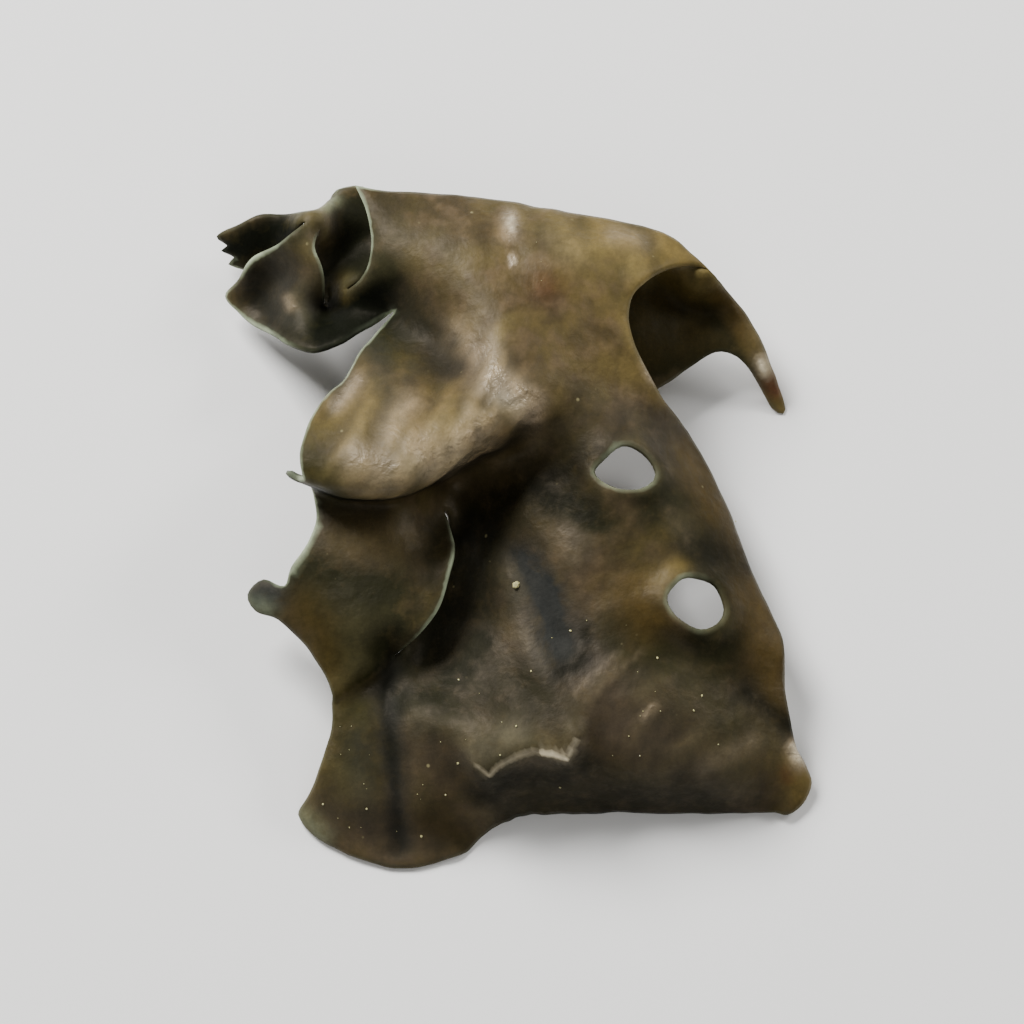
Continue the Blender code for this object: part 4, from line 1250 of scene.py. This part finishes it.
    def inner_points(self, loops: Sequence[Array], crests: Sequence[Array]) -> Array:
        """Points over the sheet in staggered rows, clear of its edges and sharp crests.

        Args:
            loops: The sheet's edge and its openings.
            crests: The sharp crests.

        Returns:
            The points, one to a row.
        """
        low, high = loops[0].min(axis=0), loops[0].max(axis=0)
        dense = [loop + (np.roll(loop, -1, 0) - loop) * share for loop in loops for share in (0, 0.5)]
        kept_from = np.vstack([*dense, *crests])
        found = []
        for step in (self.step, self.fine_step):
            rows = enumerate(np.arange(low[1], high[1], step * math.sqrt(0.75)))
            lines = ((np.arange(low[0] + 0.5 * step * (k % 2), high[0], step), v) for k, v in rows)
            points = np.vstack([np.column_stack([line, np.full(len(line), v)]) for line, v in lines])
            points = points[self.step_at(*points.T) == step]
            points = points[covered(loops, points)]
            found.append(points[nearest(kept_from, points) > self.ring + self.clear * step])
        return np.vstack(found)

    def ring_points(self, loops: Sequence[Array]) -> Array:
        """Points in a ring just inside each edge, so that the torn rims stay even.

        Args:
            loops: The sheet's edge and its openings.

        Returns:
            The points, one to a row.
        """
        found = []
        for loop, side in zip(loops, [1] + [-1] * (len(loops) - 1)):
            after = np.roll(loop, -1, 0)
            turn = np.sign(np.sum(loop[:, 0] * after[:, 1] - loop[:, 1] * after[:, 0]))
            found.append((loop + after) / 2 + leftward(after - loop) * side * turn * self.ring)
        points = np.vstack(found)
        away = np.min([along(np.vstack([loop, loop[:1]]), *points.T)[0] for loop in loops], axis=0)
        return points[away > self.ring_clear * self.ring]

    def flat_sheet(self) -> tuple[Array, Array, Array]:
        """Lays the sheet out flat.

        Returns:
            Its (u, v) points, its triangles, and each point's distance from the nearest torn edge.
        """
        lines = [self.contour.outer(self.fold, self.tears), *self.contour.openings(self.fold, self.tears)]
        loops, crests = [self.rounded(line) for line in lines], self.sharp_lines()
        points: list[list[float]] = []
        ties: list[tuple[int, int]] = []
        for number, line in enumerate([*loops, *crests]):
            first, count = len(points), len(line)
            points += line.tolist()
            ties += [(first + k, first + (k + 1) % count) for k in range(count - (number >= len(loops)))]
        for crest in crests:
            beside = self.sharp_side * leftward(np.gradient(crest, axis=0))
            points += [*(crest - beside).tolist(), *(crest + beside).tolist()]
        points += [*self.ring_points(loops).tolist(), *self.inner_points(loops, crests).tolist()]
        made, _, faces, *_ = delaunay_2d_cdt(points, ties, [], 0, TINY)
        sheet = np.array([tuple(point) for point in made])
        triangles = np.array([face for face in faces if len(face) == 3])
        triangles = triangles[covered(loops, sheet[triangles].mean(axis=1))]
        used, index = np.unique(triangles, return_inverse=True)
        sheet = sheet[used]
        return sheet, index.reshape(-1, 3), nearest(np.vstack(loops), sheet)

    def standing(self, u: Array, t: Array, extra: Array) -> Array:
        """World Y and Z of places on the plan that stand by extra above the relief."""
        z = self.relief.height(u, t, self.tears, self.contour) + extra
        return np.array([(t - z * math.cos(PLAN_RISE)) / math.sin(PLAN_RISE), z])

    def upper(self, u: Array, t: Array) -> Array:
        """World Y and Z above the fold."""
        return self.standing(u, t, self.fold.lobe(u, t))

    def lower(self, u: Array, t: Array) -> Array:
        """World Y and Z below the fold."""
        return self.standing(u, t, -self.fold.hollow(u, t))

    def placed(self, sheet: Array, step: float = 0.05) -> Array:
        """Bends the flat sheet into the flake.

        Args:
            sheet: The (u, v) points.
            step: How far apart two places are taken to find the blade's direction.

        Returns:
            The x, y and z of the blade's middle at each point.
        """
        fold = self.fold
        u, v = sheet[:, 0], sheet[:, 1]
        share, start, landing = fold.share(u), fold.brink(u), fold.landing(u)
        turned = fold.turned(u, v)
        above = self.upper(u, np.maximum(v, start))
        below = self.lower(u, np.minimum(v + fold.taken_up(u), landing))
        down_above = self.upper(u, start - step) - self.upper(u, start)
        down_below = self.lower(u, landing - step) - self.lower(u, landing)
        reach = fold.lip_reach * share**2
        square, cube = turned**2, turned**3
        y, z = (
            above * (2 * cube - 3 * square + 1)
            + down_above / np.hypot(*down_above) * reach * (cube - 2 * square + turned)
            + below * (3 * square - 2 * cube)
            + down_below / np.hypot(*down_below) * reach * (cube - square)
        )
        plan = fold.on_plan(u, v)
        x = u
        for tear in self.tears.every():
            pull = tear.pull(u, plan)
            x = x + pull * tear.under[0]
            y = y + pull * tear.under[1] / math.sin(PLAN_RISE)
        return np.column_stack([x, y, z])

    def wrinkled(self, sheet: Array, away: Array) -> tuple[Array, Array]:
        """How far the fine wrinkles push each point out along the blade's normal.

        Args:
            sheet: The (u, v) points.
            away: Their distances from the nearest torn edge, where the wrinkles are weaker.

        Returns:
            The push in millimetres, and how far up a local wrinkle each point is, from 0 to 1.
        """
        u, v = sheet[:, 0], sheet[:, 1]
        total = sum(wave.height(u, v) for wave in self.waves)
        t = self.fold.on_plan(u, v)
        local = sum(wave.height(u, v) * patch(row, u, t) for wave, row in self.local_waves)
        share = self.wave_at_rim + (1 - self.wave_at_rim) * smooth_step(0, self.wave_clear, away)
        return (total + local) * share, 0.5 + 0.5 * np.clip(local / self.rib_rise, -1, 1)

    @staticmethod
    def normals(mesh: bpy.types.Mesh) -> Array:
        """The normals of a mesh's points."""
        return np.array([tuple(normal.vector) for normal in mesh.vertex_normals])

    @staticmethod
    def around(triangles: Array, values: Array, rounds: int = 1) -> Array:
        """The mean of the neighbours' values, taken several times over.

        Args:
            triangles: The sheet's triangles.
            values: One row a point.
            rounds: How often the mean is taken.

        Returns:
            The evened values.
        """
        a = triangles.ravel()
        b = np.roll(triangles, 1, axis=1).ravel()
        c = np.roll(triangles, -1, axis=1).ravel()
        count = np.bincount(a, minlength=len(values))[:, None] * 2
        for _ in range(rounds):
            columns = [np.bincount(a, column[b] + column[c], minlength=len(values)) for column in values.T]
            values = np.column_stack(columns) / count
        return values

    def crests(self, triangles: Array, places: Array, normals: Array) -> Array:
        """How much each point stands out of its surroundings, 0.5 where it is flat.

        Args:
            triangles: The sheet's triangles.
            places: Its points, in millimetres.
            normals: Its points' normals.

        Returns:
            A value from 0 in a sharp valley to 1 on a sharp crest.
        """
        stand = ((places - self.around(triangles, places, self.crest_reach)) * normals).sum(axis=1)
        evened = self.around(triangles, stand[:, None], self.crest_rounds)[:, 0]
        return np.clip(0.5 + evened * self.crest_gain, 0, 1)

    def eased(self, sheet: Array, triangles: Array, away: Array, places: Array) -> Array:
        """Evens out the blade: a little all over, and well at the lip's right end, where the fold fades.

        Args:
            sheet: The (u, v) points.
            triangles: The sheet's triangles.
            away: The points' distances from the nearest torn edge.
            places: Where they lie, in millimetres.

        Returns:
            The evened places.
        """
        u, t = sheet[:, 0], self.fold.on_plan(sheet[:, 0], sheet[:, 1])
        near = fading(t - self.fold.brink(u) + self.ease_below, self.ease_width)
        share = near * smooth_step(*self.ease_from, u) * (1 - smooth_step(*self.ease_to, u))
        clear = smooth_step(0, self.even_edge, away)
        for crease in self.relief.creases:
            if crease.steep:
                clear = clear * smooth_step(0, self.even_edge, along(crease.line, u, t)[0])
        for rounds, pull in ((self.ease_rounds, share), (self.even_rounds, clear)):
            for _ in range(rounds):
                places = places + self.ease_pull * pull[:, None] * (self.around(triangles, places) - places)
        return places

    def build(self, box_middle: Place) -> bpy.types.Object:
        """Makes the blade.

        Args:
            box_middle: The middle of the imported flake's box on the table, in metres.

        Returns:
            The finished blade, without its material.
        """
        sheet, triangles, away = self.flat_sheet()
        LOG.info("sheet: %d points, %d triangles", len(sheet), len(triangles))
        places = self.eased(sheet, triangles, away, self.placed(sheet))
        mesh = bpy.data.meshes.new("dried_blade")
        mesh.from_pydata(places.tolist(), [], triangles.tolist())
        push, ribs = self.wrinkled(sheet, away)
        places = places + self.normals(mesh) * push[:, None]
        low, high = places.min(axis=0), places.max(axis=0)
        places[:, :2] += np.array(box_middle) / MM - (low[:2] + high[:2]) / 2
        mesh.vertices.foreach_set("co", (places * MM).ravel())
        mesh.update()
        normals = self.normals(mesh)
        self.middle, self.upward, self.flat = places, normals, sheet
        self.dye(mesh, sheet, away, {"crest": self.crests(triangles, places, normals), "ribs": ribs})
        piece = bpy.data.objects.new("dried_blade", mesh)
        bpy.context.scene.collection.objects.link(piece)
        self.thicken(piece, away)
        for corner in piece.data.vertices:
            corner.co.z = max(corner.co.z, 0)
        bpy.ops.object.shade_smooth()
        return piece

    def dye(self, mesh: bpy.types.Mesh, sheet: Array, away: Array, layers: dict[str, Array]) -> None:
        """Writes onto the mesh where each tone, the painted shade under the lip and the pale rims lie.

        Args:
            mesh: The mesh of the blade's middle.
            sheet: Its (u, v) points.
            away: Their distances from the nearest torn edge.
            layers: More values to write, each under its name.
        """
        u, v = sheet[:, 0], sheet[:, 1]
        t = self.fold.on_plan(u, v)
        drift_s, drift_t = self.drift.height(u, v), self.drift.height(v, u)
        layers = layers | {stain.value: np.zeros(len(sheet)) for stain in Stain}
        for dye in DYES:
            side, name = dye.side(self.tears, u, t), dye.stain.value
            for row in dye.rows:
                loose = min(max(row[1] - self.drawn_line, 0) / self.drifting, 1)
                weight = patch(row, u + loose * drift_s, t + loose * drift_t) * side
                layers[name] = np.maximum(layers[name], weight)
        # Painted shade where the blade turns under the lip.
        turned = self.fold.turned(u, v)
        under = smooth_step(*self.under_lip[0], turned) * (1 - smooth_step(*self.under_lip[1], turned))
        layers[Stain.DARK.value] = np.maximum(layers[Stain.DARK.value], under * self.fold.share(u))
        layers["rim"] = fading(away, self.rim_glow)
        for tear in self.tears.every():
            from_tear, gape, below = tear.opening(u, t)
            layers["rim"] *= 1 - (1 - gape * ~below) * fading(from_tear, self.rim_hidden)
        for name, values in layers.items():
            layer = mesh.attributes.new(name, "FLOAT", "POINT")
            layer.data.foreach_set("value", values.astype(np.float32))

    def thicken(self, piece: bpy.types.Object, away: Array) -> None:
        """Gives the sheet its thickness, thinner towards its torn edges.

        Args:
            piece: The sheet.
            away: Its points' distances from the nearest torn edge.
        """
        group = piece.vertex_groups.new(name="body")
        body = self.rim_thickness + (1 - self.rim_thickness) * smooth_step(0, self.rim_round, away)
        for index, weight in enumerate(body.tolist()):
            group.add([index], weight, "REPLACE")
        only(piece)
        bpy.ops.object.modifier_add(type="SOLIDIFY")
        solidify = piece.modifiers[-1]
        solidify.thickness = self.thickness * MM
        solidify.offset = 0
        solidify.use_even_offset = False
        solidify.vertex_group = group.name
        solidify.thickness_vertex_group = 0
        bpy.ops.object.modifier_apply(modifier=solidify.name)
        piece.vertex_groups.clear()

    def spot(self, s: float, t: float) -> tuple[Vector, Vector]:
        """The upper face of the blade at a place on the plan.

        Args:
            s: Place along the plan.
            t: Place up the plan.

        Returns:
            The point in metres, and the blade's direction outwards there.
        """
        (u, v), = self.fold.on_sheet([(s, t)])
        index = int(np.argmin(np.hypot(self.flat[:, 0] - u, self.flat[:, 1] - v)))
        out = self.upward[index]
        return Vector((self.middle[index] + out * self.thickness / 2) * MM), Vector(out)


@dataclass
class SaltGrains:
    """Grains of dried sea salt on the blade.

    large gives places and sizes, small only places, and dust_area circles in which the finest lie.
    Each corner of a grain is moved by a share out of worn, and the grain is flattened, leans by up to
    lean and stands out of the blade by lift, a share of its size.
    """

    large: Sequence[Spot] = ((-1.28, -3.2, 0.42),)
    small: Line = (
        (-4.1, -7.6), (-1.5, -9.7), (-4.1, -11.3), (-4.9, -13), (-2.2, -11.1), (-0.7, -7.1), (3.8, -10.1),
        (5.1, -6.6), (7.4, -8.4), (6.9, -9), (5.4, -9.1), (8.8, -0.1), (-9.4, -14.4), (-8.6, -13.6),
        (-10.6, -13.4), (2, -4.9), (1.1, -5.2), (-6.1, -14.9), (0.6, -12.5),
    )
    small_size: Place = (0.07, 0.14)
    dust_count: int = 30
    dust_size: Place = (0.03, 0.07)
    dust_area: Sequence[Spot] = (
        (-9, -13.5, 2.2), (3.5, -9.5, 3.6), (-6, -13.6, 1.8), (-4, -9.5, 2.2), (2.5, -5.2, 2.0),
        (7, -10.8, 2.2), (-1.5, 12.5, 2.4), (-9.5, -10.5, 1.3),
    )
    seed: int = 11
    worn: Place = (0.75, 1.2)
    flattened: Place = (0.5, 0.9)
    lean: float = 0.5
    lift: float = 0.2

    def build(self, blade: Blade) -> bpy.types.Object:
        """Makes the grains.

        Args:
            blade: The finished blade that they lie on.

        Returns:
            One object of all the grains.
        """
        draw = random.Random(self.seed)
        spots = list(self.large) + [(s, t, draw.uniform(*self.small_size)) for s, t in self.small]
        for _ in range(self.dust_count):
            s0, t0, reach = draw.choice(self.dust_area)
            s, t = s0 + draw.gauss(0, reach / 2), t0 + draw.gauss(0, reach / 2)
            spots.append((s, t, draw.uniform(*self.dust_size)))
        grains = [self.grain(blade, spot, draw) for spot in spots]
        only(*grains)
        bpy.ops.object.join()
        grains[0].name = grains[0].data.name = "salt_grains"
        return grains[0]

    def grain(self, blade: Blade, spot: Spot, draw: random.Random) -> bpy.types.Object:
        """Makes one grain: a small crystal that is worn unevenly.

        Args:
            blade: The blade that it lies on.
            spot: Its place on the plan and its size.
            draw: Gives the random numbers.

        Returns:
            The grain.
        """
        s, t, size = spot
        place, out = blade.spot(s, t)
        bpy.ops.mesh.primitive_ico_sphere_add(subdivisions=1, radius=size * MM / 2, location=(0, 0, 0))
        piece = bpy.context.object
        for corner in piece.data.vertices:
            corner.co *= draw.uniform(*self.worn)
        spans = [draw.uniform(*limits) for limits in (self.worn, self.worn, self.flattened)]
        upright = out.to_track_quat("Z", "Y").to_matrix().to_4x4()
        turn = Matrix.Rotation(draw.uniform(0, math.tau), 4, "Z")
        turn = turn @ Matrix.Rotation(draw.uniform(-self.lean, self.lean), 4, "X")
        move = Matrix.Translation(place + out * size * self.lift * MM)
        piece.data.transform(move @ upright @ turn @ Matrix.Diagonal([*spans, 1]))
        return piece


@dataclass
class Studio:
    """The pale floor, the soft lights and the camera.

    The floor's size, the lamps' places and sides and nearest_seen are in metres, the rest in
    millimetres. world is the strength of the light from all round.
    """

    floor_size: float = 1.6
    lamps: Sequence[tuple[str, Spot, float, float]] = (
        ("key", (-0.17, 0.21, 0.24), 0.16, 2.9), ("right", (0.26, 0.14, 0.2), 0.1, 0.6),
        ("front", (0.05, -0.3, 0.3), 0.3, 0.5),
    )
    world: float = 0.15
    aim: Spot = (0.0, 0.0, 3.5)
    lens: float = 400
    frame_width: float = 49
    sensor: float = 36
    nearest_seen: float = 0.01

    def floor(self) -> None:
        """Lays the floor."""
        bpy.ops.mesh.primitive_plane_add(size=self.floor_size, location=(0, 0, 0))
        floor = bpy.context.object
        floor.name = floor.data.name = "floor"
        floor.data.materials.append(FloorFinish().material())

    def lights(self) -> None:
        """Hangs the square soft lights, each with its place and side in metres and its watts."""
        for name, place, side, power in self.lamps:
            bpy.ops.object.light_add(type="AREA", location=place)
            lamp = bpy.context.object
            lamp.name = lamp.data.name = name
            lamp.data.size, lamp.data.energy = side, power
            lamp.rotation_euler = (-Vector(place)).to_track_quat("-Z", "Y").to_euler()
        world = bpy.data.worlds.new("studio")
        world.use_nodes = True
        background = world.node_tree.nodes["Background"]
        background.inputs["Color"].default_value = (1, 1, 1, 1)
        background.inputs["Strength"].default_value = self.world
        bpy.context.scene.world = world

    def camera(self) -> None:
        """Sets up the camera at the photograph's angle."""
        distance = self.frame_width * self.lens / self.sensor
        back = Vector((0, -math.cos(PLAN_RISE), math.sin(PLAN_RISE)))
        bpy.ops.object.camera_add(location=(Vector(self.aim) + back * distance) * MM)
        camera = bpy.context.object
        camera.name = "camera"
        camera.data.lens = self.lens
        camera.data.sensor_width = self.sensor
        camera.data.clip_start = self.nearest_seen
        camera.rotation_euler = (-back).to_track_quat("-Z", "Y").to_euler()
        bpy.context.scene.camera = camera


def main() -> None:
    """Builds the flake and its studio, in order."""
    logging.basicConfig(level=logging.INFO, format="%(name)s: %(message)s")
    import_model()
    low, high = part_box("wakame_flake")
    blade = Blade()
    piece = blade.build(((low[0] + high[0]) / 2, (low[1] + high[1]) / 2))
    piece.data.materials.append(DriedBladeFinish().material())
    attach(piece, "root")
    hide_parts("wakame_flake")
    LOG.info("blade: %d faces", len(piece.data.polygons))
    grains = SaltGrains().build(blade)
    grains.data.materials.append(SaltFinish().material())
    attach(grains, "root")
    LOG.info("salt grains: %d faces", len(grains.data.polygons))
    studio = Studio()
    studio.floor()
    studio.lights()
    studio.camera()
    LOG.info("studio is set")


if __name__ == "__main__":
    main()
